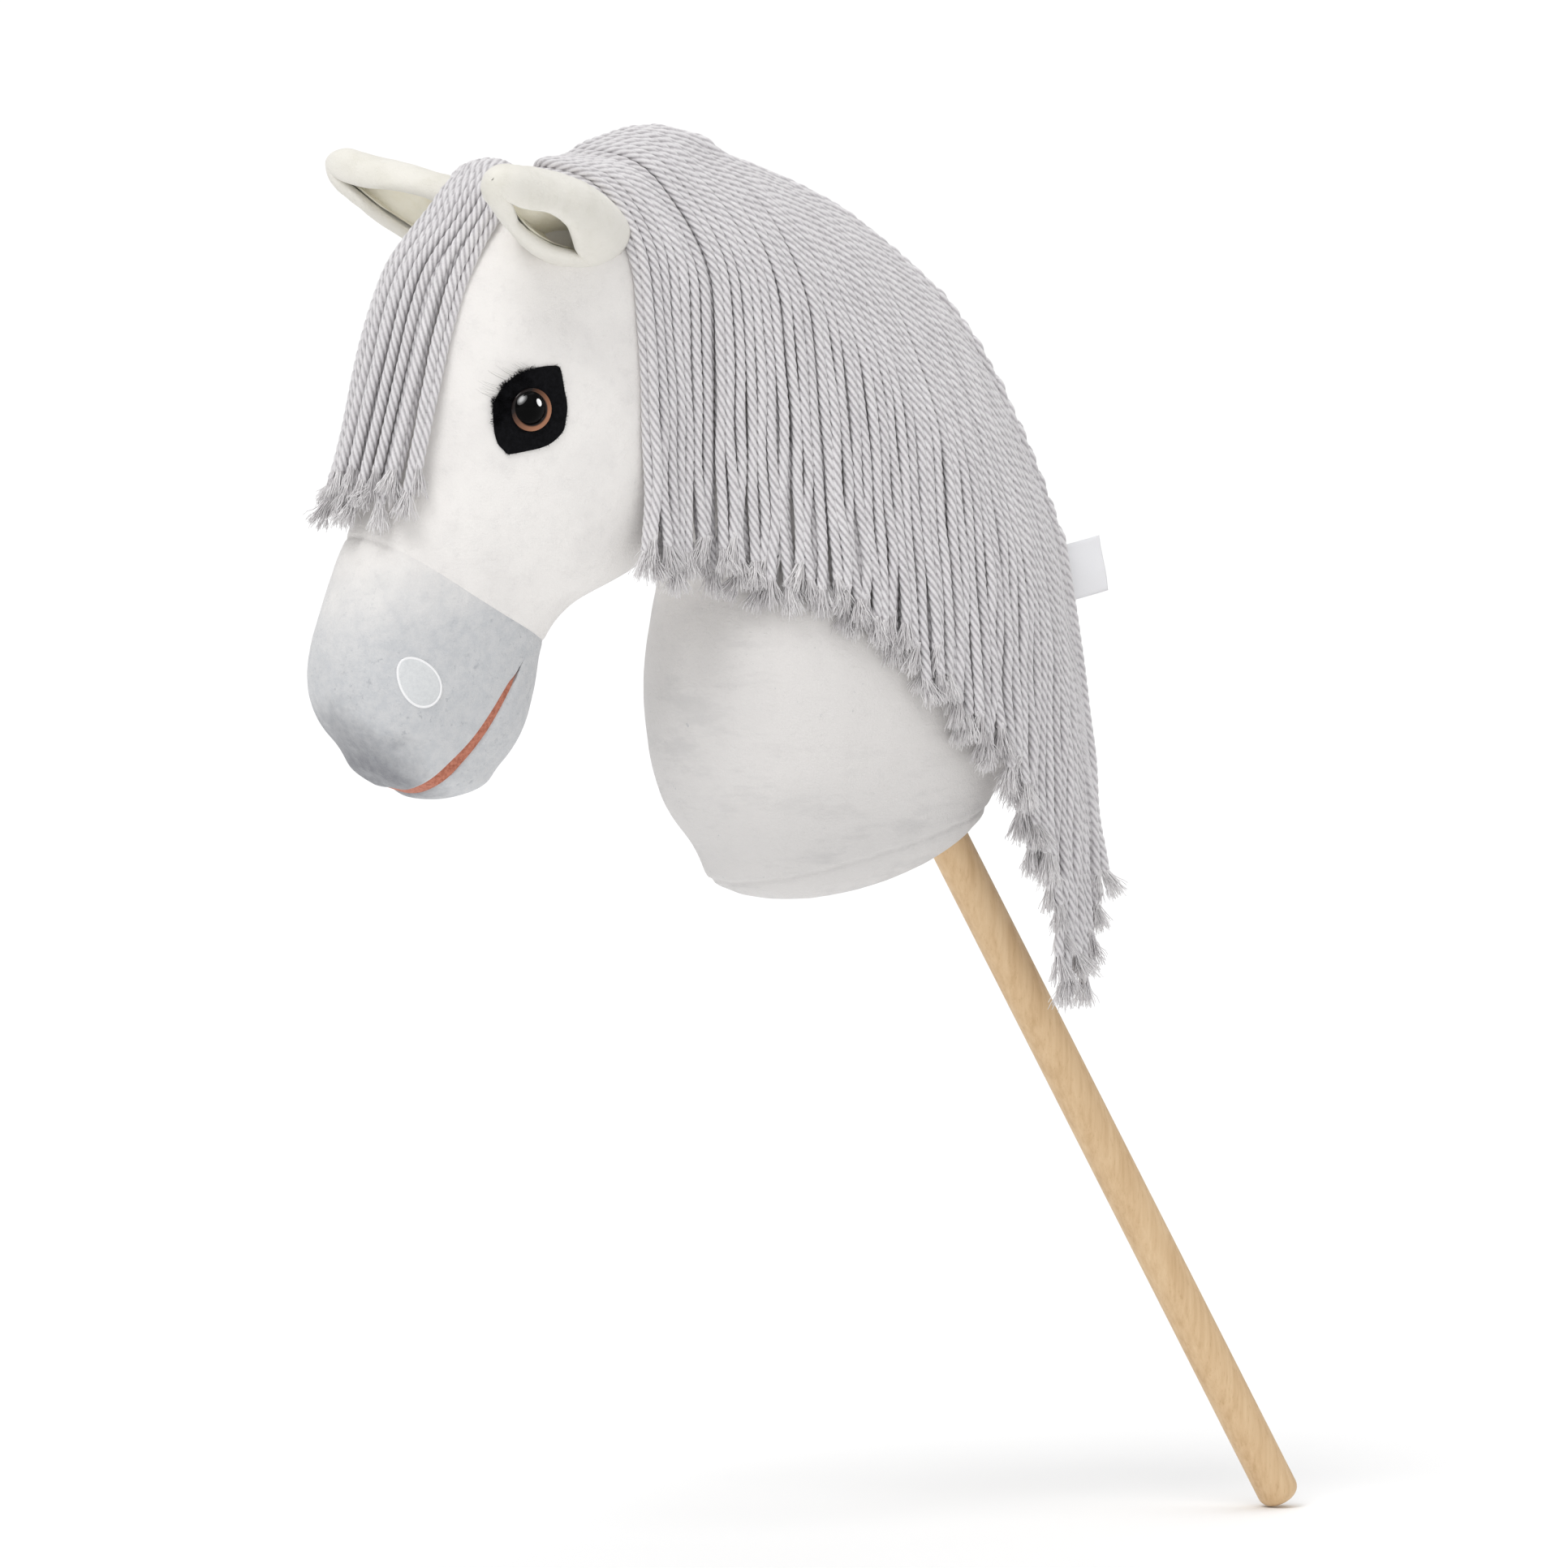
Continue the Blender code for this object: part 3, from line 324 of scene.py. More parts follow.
plushFinish = {
    "white": (240, 237, 234),
    "whiteDeep": (226, 223, 221),    # where the pile lies the other way
    "neck": (220, 217, 215),         # the neck is a little darker than the head
    # painted shade: the tone painted on the neck's bottom and its throat side
    "neckPaintedShade": (201, 199, 198),
    "muzzleGrey": (196, 198, 201),
    "muzzleDeep": (116, 117, 123),   # at the nose
    "fleck": (160, 163, 168),
    "pile": 625.0,                   # hairs a metre
    "sheen": 0.30,
    "relief": (0.42, 0.0012),        # the pile's bump: strength and distance
}


def plush(name, pale, deep):
    look, here = newMaterial(name, pale, 0.92, Sheen_Weight=plushFinish["sheen"], Sheen_Roughness=0.55,
                             Specular_IOR_Level=0.15)
    strokes = here.noise(110.0, 4.0, 0.7).between(0.45, 0.80)
    lie = here.noise(26.0, 2.0).between(0.42, 0.72) * 0.45 + strokes * 0.40
    height = here.noise(plushFinish["pile"], 3.0, 0.75) + strokes * 0.7
    return look, here, lie.blend(colour(*pale), colour(*deep)), height


def plushWhite():
    # the head's white turns to the neck's over a hand's width below the cheek, with faint strokes in it,
    # and painted shade darkens the neck's bottom and its throat side
    look, here, cover, height = plush("whitePlush", plushFinish["white"], plushFinish["whiteDeep"])
    x, z = here.axis("X"), here.axis("Z")
    neck = 1 - (z - x * 0.55).between(0.290, 0.420)
    # painted shade: darker towards the bottom of the neck and towards its throat side
    low = 1 - z.between(0.070, 0.150) * (x + here.noise(12.0, 2.0) * 0.03).between(-0.235, -0.165)
    strokes = here.stretched((0.30, 0.30, 1.0)).noise(60.0, 4.0, 0.7).between(0.48, 0.68)
    upper = (neck * (strokes * 0.30 + 0.80)).blend(cover, colour(*plushFinish["neck"]))
    lower = (low * neck * (strokes * 0.40 + 0.60)).blend(upper, colour(*plushFinish["neckPaintedShade"]))
    fleck = here.noise(210.0, 3.0, 0.6).between(0.68, 0.74) * here.noise(30.0, 2.0).between(0.45, 0.60)
    return feed(look, Base_Color=(fleck * neck * 0.45).blend(lower, colour(*plushFinish["fleck"])),
                Normal=height.bump(*plushFinish["relief"]))


def plushGrey():
    # dyed in clouds: white at the seam in front, grey below it, darkest at the nose, with flecks
    look, here, cover, height = plush("greyPlush", plushFinish["white"], plushFinish["whiteDeep"])
    x, z = here.axis("X"), here.axis("Z")
    cloud = here.noise(38.0, 4.0, 0.65)
    below = (0.128 - z - x * 0.47 + cloud * 0.010).between(-0.004, 0.034)   # the seam's own fade
    dyed = (1 - (z - x * 0.30 + cloud * 0.050).between(0.352, 0.428)) * (below * 0.50 + 0.50)
    nose = 1 - (x * 0.62 + z * 0.78 + cloud * 0.040).between(-0.148, -0.121)
    mottled = here.noise(150.0, 4.0, 0.75).between(0.35, 0.75)
    grey = (dyed * (mottled * 0.30 + 0.80)).blend(cover, colour(*plushFinish["muzzleGrey"]))
    deep = (nose * (cloud.between(0.35, 0.65) * 0.55 + mottled * 0.20 + 0.66)).blend(
        grey, colour(*plushFinish["muzzleDeep"]))
    fleck = here.noise(230.0, 4.0, 0.7).between(0.56, 0.70) * here.noise(40.0, 2.0).between(0.38, 0.58)
    return feed(look, Base_Color=(fleck * dyed * 0.60).blend(deep, colour(*plushFinish["fleck"])),
                Normal=height.bump(*plushFinish["relief"]))


def plushEar(name, pale, deep):
    look, here, cover, height = plush(name, pale, deep)
    return feed(look, Base_Color=cover, Normal=height.bump(0.45, 0.0012))


def felt(name, pale, deep, roughness=0.95, sheen=0.15):
    look, here = newMaterial(name, pale, roughness, Sheen_Weight=sheen, Sheen_Roughness=0.5,
                             Specular_IOR_Level=0.1)
    matted = here.noise(420.0, 5.0, 0.75)
    return feed(look, Base_Color=matted.between(0.35, 0.70).blend(colour(*pale), colour(*deep)),
                Normal=matted.bump(0.5, 0.0008))


def darker(shade, share):
    return tuple(int(c * share) for c in shade)


def thread(name, shade, lines):
    # satin stitches: fine ridges across the UV's length, with painted shade in the grooves between them
    look, here = newMaterial(name, shade, 0.55, Sheen_Weight=0.2)
    ridge = (here.uv()[1] * (lines * circle)).sine() * 0.5 + 0.5
    return feed(look, Base_Color=ridge.blend(colour(*darker(shade, 0.93)), colour(*shade)),
                Normal=ridge.bump(0.3, 0.0002))


# painted shade and highlight: the darkest shade is painted between the plies and the ridge shade is a
# painted highlight on their crowns
cordFinish = {"ridge": (254, 252, 253), "middle": (238, 235, 237), "groove": (194, 190, 193),
              "fibres": 22}          # fine yarns round a cord


def cordLook(name, pitch):
    # U runs round the cord in its plies' own turn, V along it in metres
    look, here = newMaterial(name, cordFinish["ridge"], 0.82, Sheen_Weight=0.25, Sheen_Roughness=0.4,
                             Specular_IOR_Level=0.25)
    u, v = here.uv()
    inPly = u * cordShape["plies"]
    offMiddle = inPly.math('FRACT', inPly) - 0.5
    crown = offMiddle.math('ABSOLUTE', offMiddle) * 2.0
    yarn = ((u + v * (1 / pitch)) * (cordFinish["fibres"] * circle) + here.noise(260.0, 2.0) * 5.0).sine()
    yarn = yarn * 0.5 + 0.5
    heather = here.noise(90.0, 3.0).between(0.3, 0.7)
    fuzz = here.noise(700.0, 5.0, 0.75).between(0.35, 0.65)
    # painted shade and highlight: the crown term darkens the cord between the plies and lightens their
    # crests; the yarn, tone, heather and fuzz terms are the cord's own colour
    light = (crown.between(0.05, 0.85) * 0.62 + yarn * 0.10 + here.tone() * 0.30 + heather * 0.12
             + fuzz * 0.22 - 0.22)
    relief = yarn * 0.5 + here.noise(900.0, 4.0, 0.7) * 1.8
    return feed(look, Base_Color=light.ramp(cordFinish, groove=0.0, middle=0.55, ridge=0.95),
                Normal=relief.bump(0.7, 0.0007))


def fringeLook():
    look, here = newMaterial("fringe", (222, 220, 224), 0.85, Sheen_Weight=0.2, Specular_IOR_Level=0.2)
    mixed = here.tone() * 0.9 + here.noise(300.0, 3.0) * 0.4 - 0.05
    return feed(look, Base_Color=mixed.blend(colour(200, 196, 198), colour(252, 250, 250)))


woodFinish = {"deep": (196, 162, 120), "middle": (214, 183, 143), "pale": (226, 198, 160)}


def wood(lean):
    # grain drawn out along the stick, short darker pores, and a slow change of tone
    look, here = newMaterial("beech", woodFinish["middle"], 0.45, Specular_IOR_Level=0.35)
    grain = here.stretched((1.0, 1.0, 0.018), lean).noise(330.0, 4.0, 0.6)
    broad = here.stretched((1.0, 1.0, 0.05), lean).noise(90.0, 2.0)
    dashes = here.stretched((1.0, 1.0, 0.10), lean).noise(1300.0, 2.0).between(0.60, 0.72)
    tone = grain * 0.6 + broad * 0.4 - dashes * 0.14
    return feed(look, Base_Color=tone.ramp(woodFinish, deep=0.28, middle=0.50, pale=0.74),
                Roughness=grain * 0.25 + 0.34, Normal=(grain - dashes).bump(0.12, 0.0002))


def gloss(name, shade, specular):
    look, here = newMaterial(name, shade, 0.06, Specular_IOR_Level=specular)
    haze = here.noise(140.0, 2.0)
    lighter = [int(c * 1.15) + 1 for c in shade]
    return feed(look, Base_Color=haze.blend(colour(*shade), colour(*lighter)), Roughness=haze * 0.06 + 0.04)


def ribbon():
    look, here = newMaterial("ribbon", (240, 240, 242), 0.45, Sheen_Weight=0.3)
    u, v = here.uv()
    weave = (u * 9000.0).sine() * (v * 7000.0).sine() * 0.5 + 0.5
    return feed(look, Base_Color=weave.blend(colour(226, 226, 230), colour(246, 246, 247)),
                Normal=weave.bump(0.3, 0.0002))


def fibre(name, shade):
    # for the lashes, and for the cloth and plastic that stay inside
    look, here = newMaterial(name, shade, 0.85)
    threads = here.noise(800.0, 2.0)
    return feed(look, Base_Color=threads.blend(colour(*darker(shade, 0.85)), colour(*shade)),
                Normal=threads.bump(0.3, 0.0004))


# The stuffed skin

neckForm = {
    "stations": (            # front x, front z, back x, back z, half width
        (-0.203, 0.074, -0.018, 0.104, 0.055),
        (-0.226, 0.107, 0.006, 0.145, 0.069),
        (-0.236, 0.151, 0.020, 0.192, 0.075),
        (-0.234, 0.196, 0.019, 0.240, 0.075),
        (-0.227, 0.242, 0.003, 0.288, 0.071),
        (-0.238, 0.290, -0.024, 0.343, 0.065),
        (-0.262, 0.338, -0.071, 0.405, 0.057),
        (-0.290, 0.386, -0.137, 0.453, 0.049),
        (-0.315, 0.430, -0.213, 0.485, 0.039),
    ),
    "poles": ((-0.119, 0.050), (-0.291, 0.489)),
    "taper": 0.22,           # narrower at the crest than at the throat
}
headForm = {
    "stations": (
        (-0.372, 0.457, -0.275, 0.470, 0.038),
        (-0.402, 0.423, -0.235, 0.440, 0.053),
        (-0.415, 0.375, -0.212, 0.388, 0.062),
        (-0.422, 0.325, -0.205, 0.328, 0.065),
        (-0.431, 0.288, -0.220, 0.276, 0.060),
        (-0.444, 0.257, -0.258, 0.250, 0.054),
        (-0.453, 0.232, -0.300, 0.230, 0.049),
        (-0.461, 0.206, -0.318, 0.208, 0.047),
        (-0.462, 0.182, -0.325, 0.180, 0.048),
        (-0.455, 0.162, -0.334, 0.154, 0.045),
        (-0.441, 0.144, -0.351, 0.132, 0.038),
    ),
    "poles": ((-0.322, 0.484), (-0.398, 0.116)),
    "taper": 0.12,
}
skinMake = {
    "power": 2.25,           # 2 is an ellipse; the sections are a little squarer
    "rings": 60, "sides": 96, "domeRings": 10, "voxel": 0.0030,
    # a point is hollow when its neighbours' mean lies that far out; hollows spread over some rounds and
    # are then smoothed over more, the most where they are deep
    "hollowAt": 0.00012, "hollowRounds": 24, "hollowGain": 2.2, "hollowMost": 0.55, "creaseRounds": 90,
    "evenRounds": 4, "lumpSize": 0.048, "lumpDepth": 0.0012, "rippleSize": 0.013, "rippleDepth": 0.00035,
    # rows of points beside a seam in its fold's reach, the pucker's size and the reach of the draw
    "seamRows": (-3.0, -1.6, -0.7, -0.25, 0.25, 0.7, 1.6, 3.0), "puckerSize": 0.0075, "drawReach": 0.012,
    "sharpAt": math.radians(50),
}
swells = (                   # centre x, |y|, z, reach, how far out (m)
    (-0.296, 0.058, 0.292, 0.050, 0.0030),    # the cheek
    (-0.402, 0.050, 0.250, 0.026, -0.0022),   # above the nostril
    (-0.424, 0.046, 0.180, 0.024, 0.0030),    # round the nostril
    (-0.362, 0.062, 0.385, 0.030, 0.0020),    # the brow
    (-0.428, 0.000, 0.124, 0.017, -0.0050),   # under the nose
    (-0.363, 0.000, 0.120, 0.015, -0.0052),   # the chin
    (-0.348, 0.000, 0.136, 0.010, 0.0012),    # behind the chin
)
seams = {
    # a line across the profile, its bow (depth, middle, reach), the fold's depth and reach, how far
    # the cloth beside it is drawn in, and the x up to which it cuts
    "muzzle": {"line": ((-0.470, 0.2925), (-0.290, 0.191)), "bow": (-0.0050, 0.115, 0.060),
               "fold": (0.0007, 0.0030), "draw": 0.0007, "upTo": -0.275},
    "base": {"line": ((-0.213, 0.0540), (-0.018, 0.0980)), "bow": (0.0, 0.1, 0.1),
             "fold": (0.0010, 0.0034), "draw": 0.0010, "upTo": 0.5},
    "mouth": {"line": ((-0.413, 0.124), (-0.349, 0.195)), "bow": (-0.0030, 0.040, 0.030), "upTo": -0.275},
}
mouthShape = {
    # how far the lips part, over what run, and how much wider they get a metre, up to that distance
    "opening": 0.0034, "run": 0.006, "widening": 0.051, "most": 0.12,
    # the lips' reach, the rows cut along them, how far they roll in, and their fade at the corner
    "lips": 0.0036, "lipRows": (0.12, 0.35, 0.7), "lipRoll": 0.62, "fade": 0.012,
    # the lining: inside the skin, up under the muzzle's seam, and past the upper lip
    "liningInset": 0.0018, "liningTuck": -0.004, "liningGap": 0.0006,
}
for seam in seams.values():
    # the seam's plane: its start and end, its way along the profile and its way up across it
    seam["start"], seam["end"] = np.array([(x, 0, z) for x, z in seam["line"]])
    seam["run"] = unit(seam["end"] - seam["start"])
    seam["up"] = np.array([-seam["run"][2], 0, seam["run"][0]])


def stuffedGrid(form):
    # point(u, v) = middle(u) + half the depth(u) * signed power of cos v, width(u) * signed power of sin v;
    # a quarter circle closes each end
    rows = catmullRom(form["stations"], np.linspace(0, len(form["stations"]) - 1, skinMake["rings"]))
    middle, half, wide = (rows[:, 0:2] + rows[:, 2:4]) / 2, (rows[:, 2:4] - rows[:, 0:2]) / 2, rows[:, 4:]
    bend = np.linspace(0, np.pi / 2, skinMake["domeRings"] + 2)[:-1, None]
    bend[0] = 0.03
    first, last = np.array(form["poles"])
    middle = np.vstack([middle[0] + (first - middle[0]) * np.cos(bend), middle,
                        middle[-1] + (last - middle[-1]) * np.cos(bend)[::-1]])
    half, wide = (np.vstack([size[0] * np.sin(bend), size, size[-1] * np.sin(bend)[::-1]])
                  for size in (half, wide))
    turn = around(skinMake["sides"])
    along, across = (np.sign(way) * np.abs(way) ** (2 / skinMake["power"])
                     for way in (np.cos(turn), np.sin(turn)))
    x, z = (middle[:, k:k + 1] + half[:, k:k + 1] * along for k in (0, 1))
    return gridRows(x, wide * (across * (1 - form["taper"] * along)), z), closedGrid(*x.shape, -1)


def relaxed(verts, edges, weights, rounds):
    # each point moves towards the mean of its neighbours by its weight, again and again
    count = len(verts)
    neighbours = np.bincount(edges.ravel(), minlength=count)[:, None]
    for _ in range(rounds):
        total = np.column_stack([np.bincount(edges[:, 0], verts[edges[:, 1], k], count)
                                 + np.bincount(edges[:, 1], verts[edges[:, 0], k], count)
                                 for k in range(verts.shape[1])])
        verts = verts + weights[:, None] * (total / neighbours - verts)
    return verts


def weldedSkin():
    # neck and head as one skin, rounded where they meet, swollen and slightly lumpy as stuffing makes it
    shape = bmesh.new()
    for form in (neckForm, headForm):
        blank = fixNormals(newPiece("blank", *stuffedGrid(form)))
        shape.from_mesh(blank.data)
        bpy.data.objects.remove(blank)
    thing = linked("skinBlank", written(shape, bpy.data.meshes.new("skinBlank")))
    weld = thing.modifiers.new("weld", 'REMESH')
    weld.mode, weld.voxel_size, weld.adaptivity = 'VOXEL', skinMake["voxel"], 0.0
    result = thing.evaluated_get(bpy.context.evaluated_depsgraph_get()).to_mesh()
    verts = readRows(result.vertices, "co", 3, np.float32).astype(float)
    quads = readRows(result.loops, "vertex_index", 1).reshape(-1, 4)
    edges = readRows(result.edges, "vertices", 2)
    bpy.data.objects.remove(thing)

    even = np.full(len(verts), 0.5)
    verts = relaxed(verts, edges, even, skinMake["evenRounds"])
    pull = relaxed(verts, edges, 2 * even, 1) - verts
    hollow = np.sum(pull * pointNormals(verts, quads), axis=1) / skinMake["hollowAt"]
    near = relaxed(np.clip(hollow, 0, 1)[:, None], edges, even, skinMake["hollowRounds"])[:, 0]
    weights = np.clip(near * skinMake["hollowGain"], 0, skinMake["hollowMost"])
    verts = relaxed(verts, edges, weights, skinMake["creaseRounds"])
    out = (softNoise(verts, skinMake["lumpSize"], 3) * skinMake["lumpDepth"]
           + softNoise(verts, skinMake["rippleSize"], 4) * skinMake["rippleDepth"])
    mirrored = np.column_stack([verts[:, 0], np.abs(verts[:, 1]), verts[:, 2]])
    for *centre, reach, height in swells:
        out += height * np.exp(-(np.linalg.norm(mirrored - centre, axis=1) / reach) ** 2)
    return verts + pointNormals(verts, quads) * out[:, None], quads


def bowed(verts, seam, way, opened=0.0):
    # bends the profile so that the bowed seam lies in its plane (way 1), or back again (-1); opened is
    # how far the seam lies below that, from its end on
    depth, middle, reach = seam["bow"]
    along = (verts - seam["start"]) @ seam["run"]
    before = np.clip((seam["end"] - seam["start"]) @ seam["run"] - along, 0, mouthShape["most"])
    gap = opened * (1 - np.exp(-before / mouthShape["run"]))
    gap += (opened > 0) * mouthShape["widening"] * before
    bow = depth * np.exp(-((along - middle) / reach) ** 2) - gap
    return verts - seam["up"] * (bow * way)[:, None]


def bisected(shape, point, normal, drop, upTo):
    # cuts the mesh through as far as that x; drop removes the side that the normal points to; a
    # dictionary's keys keep their order, where a set's would change from run to run
    faces = [face for face in shape.faces if max(v.co.x for v in face.verts) < upTo]
    edges = list(dict.fromkeys(edge for face in faces for edge in face.edges))
    verts = list(dict.fromkeys(vert for edge in edges for vert in edge.verts))
    bmesh.ops.bisect_plane(shape, geom=verts + edges + faces, dist=1e-7, plane_co=point, plane_no=normal,
                           clear_outer=drop)


def moveShape(shape, change):
    for vert, spot in zip(shape.verts, change(np.array([v.co for v in shape.verts]))):
        vert.co = spot


def shapeNormals(shape):
    shape.normal_update()
    return np.array([v.normal for v in shape.verts])


def foldSeams(verts, quads):
    # rows of points along each seam, and the cloth drawn in there as stitches do
    whole = newPiece("skinWhole", verts, [quads])
    shape = shapeOf(whole.data)
    for seam in (seams["muzzle"], seams["base"]):
        start, run, up = seam["start"], seam["run"], seam["up"]
        depth, reach = seam["fold"]
        moveShape(shape, lambda rows: bowed(rows, seam, 1))
        for gap in skinMake["seamRows"]:
            bisected(shape, start + up * gap * reach, up, False, seam["upTo"])
        normals = shapeNormals(shape)

        def drawnIn(rows):
            height, along = (rows - start) @ up, (rows - start) @ run
            spots = np.column_stack([along, rows[:, 1], 0 * along])
            pucker = 1 + 0.5 * softNoise(spots, skinMake["puckerSize"], 8)
            fold = depth * np.exp(-(height / (reach * 0.5)) ** 2)
            draw = seam["draw"] * np.exp(-np.abs(height) / skinMake["drawReach"]) * pucker
            return rows - normals * ((fold + draw) * (rows[:, 0] < seam["upTo"]))[:, None]
        moveShape(shape, drawnIn)
        moveShape(shape, lambda rows: bowed(rows, seam, -1))
    written(shape, whole.data)
    return whole


def skinPiece(name, whole, limits, material, lips=0.0, onlyTo=None):
    # a copy of the skin kept on one side of each (seam, side, offset), closed across its cuts;
    # the lips roll in towards the mouth's plane and run out at its corner
    shape = shapeOf(whole.data)
    if onlyTo is not None:
        bmesh.ops.delete(shape, geom=[v for v in shape.verts if v.co.x > onlyTo], context='VERTS')
    for seamName, side, offset in limits:
        seam = seams[seamName]
        up = seam["up"]
        opened = mouthShape["opening"] if offset == "opened" else 0.0
        point = seam["start"] + up * (0.0 if opened else offset)
        moveShape(shape, lambda rows: bowed(rows, seam, 1, opened))
        rolls = lips if seamName == "mouth" else 0
        for share in mouthShape["lipRows"] if rolls else ():
            bisected(shape, point + up * (rolls * share * side), up, False, seam["upTo"])
        bisected(shape, point, up * -side, True, seam["upTo"])
        if rolls:
            normals = shapeNormals(shape)

            def rolledIn(rows):
                before = (seam["end"] - rows) @ seam["run"]
                share = (np.clip(1 - (rows - point) @ up * side / rolls, 0, 1)
                         * smoothStep(before, 0, mouthShape["fade"]))
                roll = mouthShape["lipRoll"] * (1 - np.sqrt(1 - share ** 2 * 0.96))
                return rows - normals * (rolls * roll)[:, None]
            moveShape(shape, rolledIn)
        moveShape(shape, lambda rows: bowed(rows, seam, -1, opened))
        bmesh.ops.holes_fill(shape, edges=[e for e in shape.edges if e.is_boundary], sides=0)
    bmesh.ops.recalc_face_normals(shape, faces=shape.faces)
    mesh = written(shape, bpy.data.meshes.new(name))
    mesh.shade_smooth()
    mesh.set_sharp_from_angle(angle=skinMake["sharpAt"])
    mesh.materials.clear()
    mesh.materials.append(material)
    return linked(name, mesh)


white, grey = plushWhite(), plushGrey()
skinVerts, skinQuads = weldedSkin()
print("skin welded:", len(skinVerts), "points")
skinWhole = foldSeams(skinVerts, skinQuads)
for name, limits, look, slot, *nodes in (
        ("headAndNeckSkin", (("muzzle", 1, 0.0), ("base", 1, 0.0)), white, "plush_white", "head", "neck"),
        ("basePanelSkin", (("base", -1, 0.0),), white, "plush_white", "base_panel"),
        ("muzzleSkin", (("muzzle", -1, 0.0), ("mouth", 1, 0.0)), grey, "plush_grey", "muzzle"),
        ("chinSkin", (("muzzle", -1, 0.0), ("mouth", -1, "opened")), grey, "plush_grey", "chin")):
    face = (mouthShape["lips"], seams["muzzle"]["upTo"]) if look is grey else ()
    dress(skinPiece(name, skinWhole, limits, look, *face), slot, *nodes)
bpy.data.objects.remove(skinWhole)
print("skin cut and sewn")


# Finding places on the skin

skinNormals = pointNormals(skinVerts, skinQuads)
skinTree = BVHTree.FromPolygons([tuple(v) for v in skinVerts], [tuple(q) for q in skinQuads.tolist()])


def struck(start, way):
    # where a ray meets the skin, and the skin's normal there
    return skinTree.ray_cast(Vector(start), Vector(way))[:2]


def faceFrame(x, z, side):
    # the skin's point at (x, z) on that side: +Z out of the face, +Y up it, -X forward
    point, normal = struck((x, side * far, z), (0, -side, 0))
    up = (Vector((0, 0, 1)) - normal * normal.z).normalized()
    made = Matrix((-up.cross(normal) * side, up, normal)).transposed().to_4x4()
    made.translation = point
    return made


def onSkin(skin, xy):
    # points of the face frame's (x, y) plane dropped on the skin, with the skin's normals
    out = skin.to_3x3() @ Vector((0, 0, 1))
    hits, normals = zip(*(struck(skin @ Vector((x, y, above)), -out) for x, y in xy))
    return np.array(hits), np.array(normals)


def closedCurve(points, count):
    return catmullRom(points, np.linspace(0, len(points), count, endpoint=False), closed=True)


def feltPad(name, skin, outline, thickness, material, lift=0.0003, rings=12):
    # point(r, v) = outline(v) * r on the skin, raised by thickness and rounded off at its edge
    shares = np.concatenate([np.linspace(0.02, 0.85, rings), [0.93, 0.975, 1.0, 1.0, 0.97, 0.02]])
    heights = np.concatenate([np.ones(rings), [0.97, 0.86, 0.62, 0.12, 0.0, 0.0]]) * thickness + lift
    points, normals = onSkin(skin, (outline[None] * shares[:, None, None]).reshape(-1, 2))
    verts = points + normals * np.repeat(heights, len(outline))[:, None]
    return fixNormals(newPiece(name, verts, closedGrid(len(shares), len(outline)), material))


def turnedPiece(name, profile, matrix, material, segments=64, looped=False):
    # a profile of (radius, height) spun round local Z and put in place by the matrix
    profile, matrix = np.array(profile, dtype=float), np.array(matrix)
    turn = around(segments)
    verts = tube(matrix[:3, 3] + profile[:, 1:] * matrix[:3, 2], matrix[:3, 0], matrix[:3, 1],
                 profile[:, :1] * np.cos(turn), profile[:, :1] * np.sin(turn))
    size = len(profile), segments
    faces = [gridQuads(*size, looped=True)] if looped else closedGrid(*size)
    uv = gridRows(np.arange(segments)[None] / segments, runAlong(profile)[:, None])
    return fixNormals(newPiece(name, verts, faces, material, uv=uv, closes=(1, 0)))


# The stick

stickShape = {"lean": math.radians(29.3), "radius": 0.0125, "foot": -0.380, "top": 0.420, "fillet": 0.0075}


def makeStick():
    radius, fillet, foot, top = (stickShape[key] for key in ("radius", "fillet", "foot", "top"))
    bend = np.linspace(0, np.pi / 2, 14)
    inner = radius - fillet
    low = np.column_stack([inner + fillet * np.sin(bend), foot + fillet - fillet * np.cos(bend)])
    high = np.column_stack([inner + fillet * np.cos(bend), top - fillet + fillet * np.sin(bend)])
    middle = np.column_stack([np.full(9, radius), np.linspace(low[-1, 1], high[0, 1], 11)[1:-1]])
    profile = np.vstack([[0.0002, foot], low, middle, high, [0.0002, top]])
    lean = Matrix.Rotation(-stickShape["lean"], 4, 'Y')
    return turnedPiece("stickTurned", profile, lean, wood(stickShape["lean"]), 72)


dress(makeStick(), "stick_wood", "stick")
print("stick turned")


# The face

eyeShape = {
    "place": (-0.353, 0.349), "radius": 0.0103, "height": 0.0068, "ring": (0.0080, 0.0127),
    "ringHeight": 0.0026, "ringRun": 0.0117, "felt": 0.0014,   # the run is round the ring's section
    "seat": 0.0005, "shank": (0.0030, 0.014),                  # over the felt; radius and length
    "aside": (-0.0031, -0.0010),   # the ring in its patch, forward is -x, and the dome in the ring
    "domeAside": (-0.0012, 0.0012),
    "patch": ((0.0146, 0.0238), (0.0164, 0.0218), (0.0175, 0.0172), (0.0188, 0.0099), (0.0203, 0.0037),
              (0.0206, -0.0020), (0.0195, -0.0077), (0.0181, -0.0134), (0.0142, -0.0180), (0.0086, -0.0218),
              (0.0020, -0.0240), (-0.0069, -0.0256), (-0.0135, -0.0266), (-0.0168, -0.0268),
              (-0.0190, -0.0247), (-0.0222, -0.0211), (-0.0240, -0.0159), (-0.0247, -0.0097),
              (-0.0249, -0.0035), (-0.0242, 0.0017), (-0.0227, 0.0068), (-0.0188, 0.0130),
              (-0.0113, 0.0193), (-0.0047, 0.0224), (0.0031, 0.0236), (0.0097, 0.0242)),
    # shares of the outline from its first point: where the pile is thick, and where the lashes stand
    "tufted": (0.66, 0.89), "lashed": (0.76, 0.91),
    "lashes": 22, "lashLength": 0.0150, "edgeHairs": 260, "tuftHairs": 3400, "tufts": 90,
}


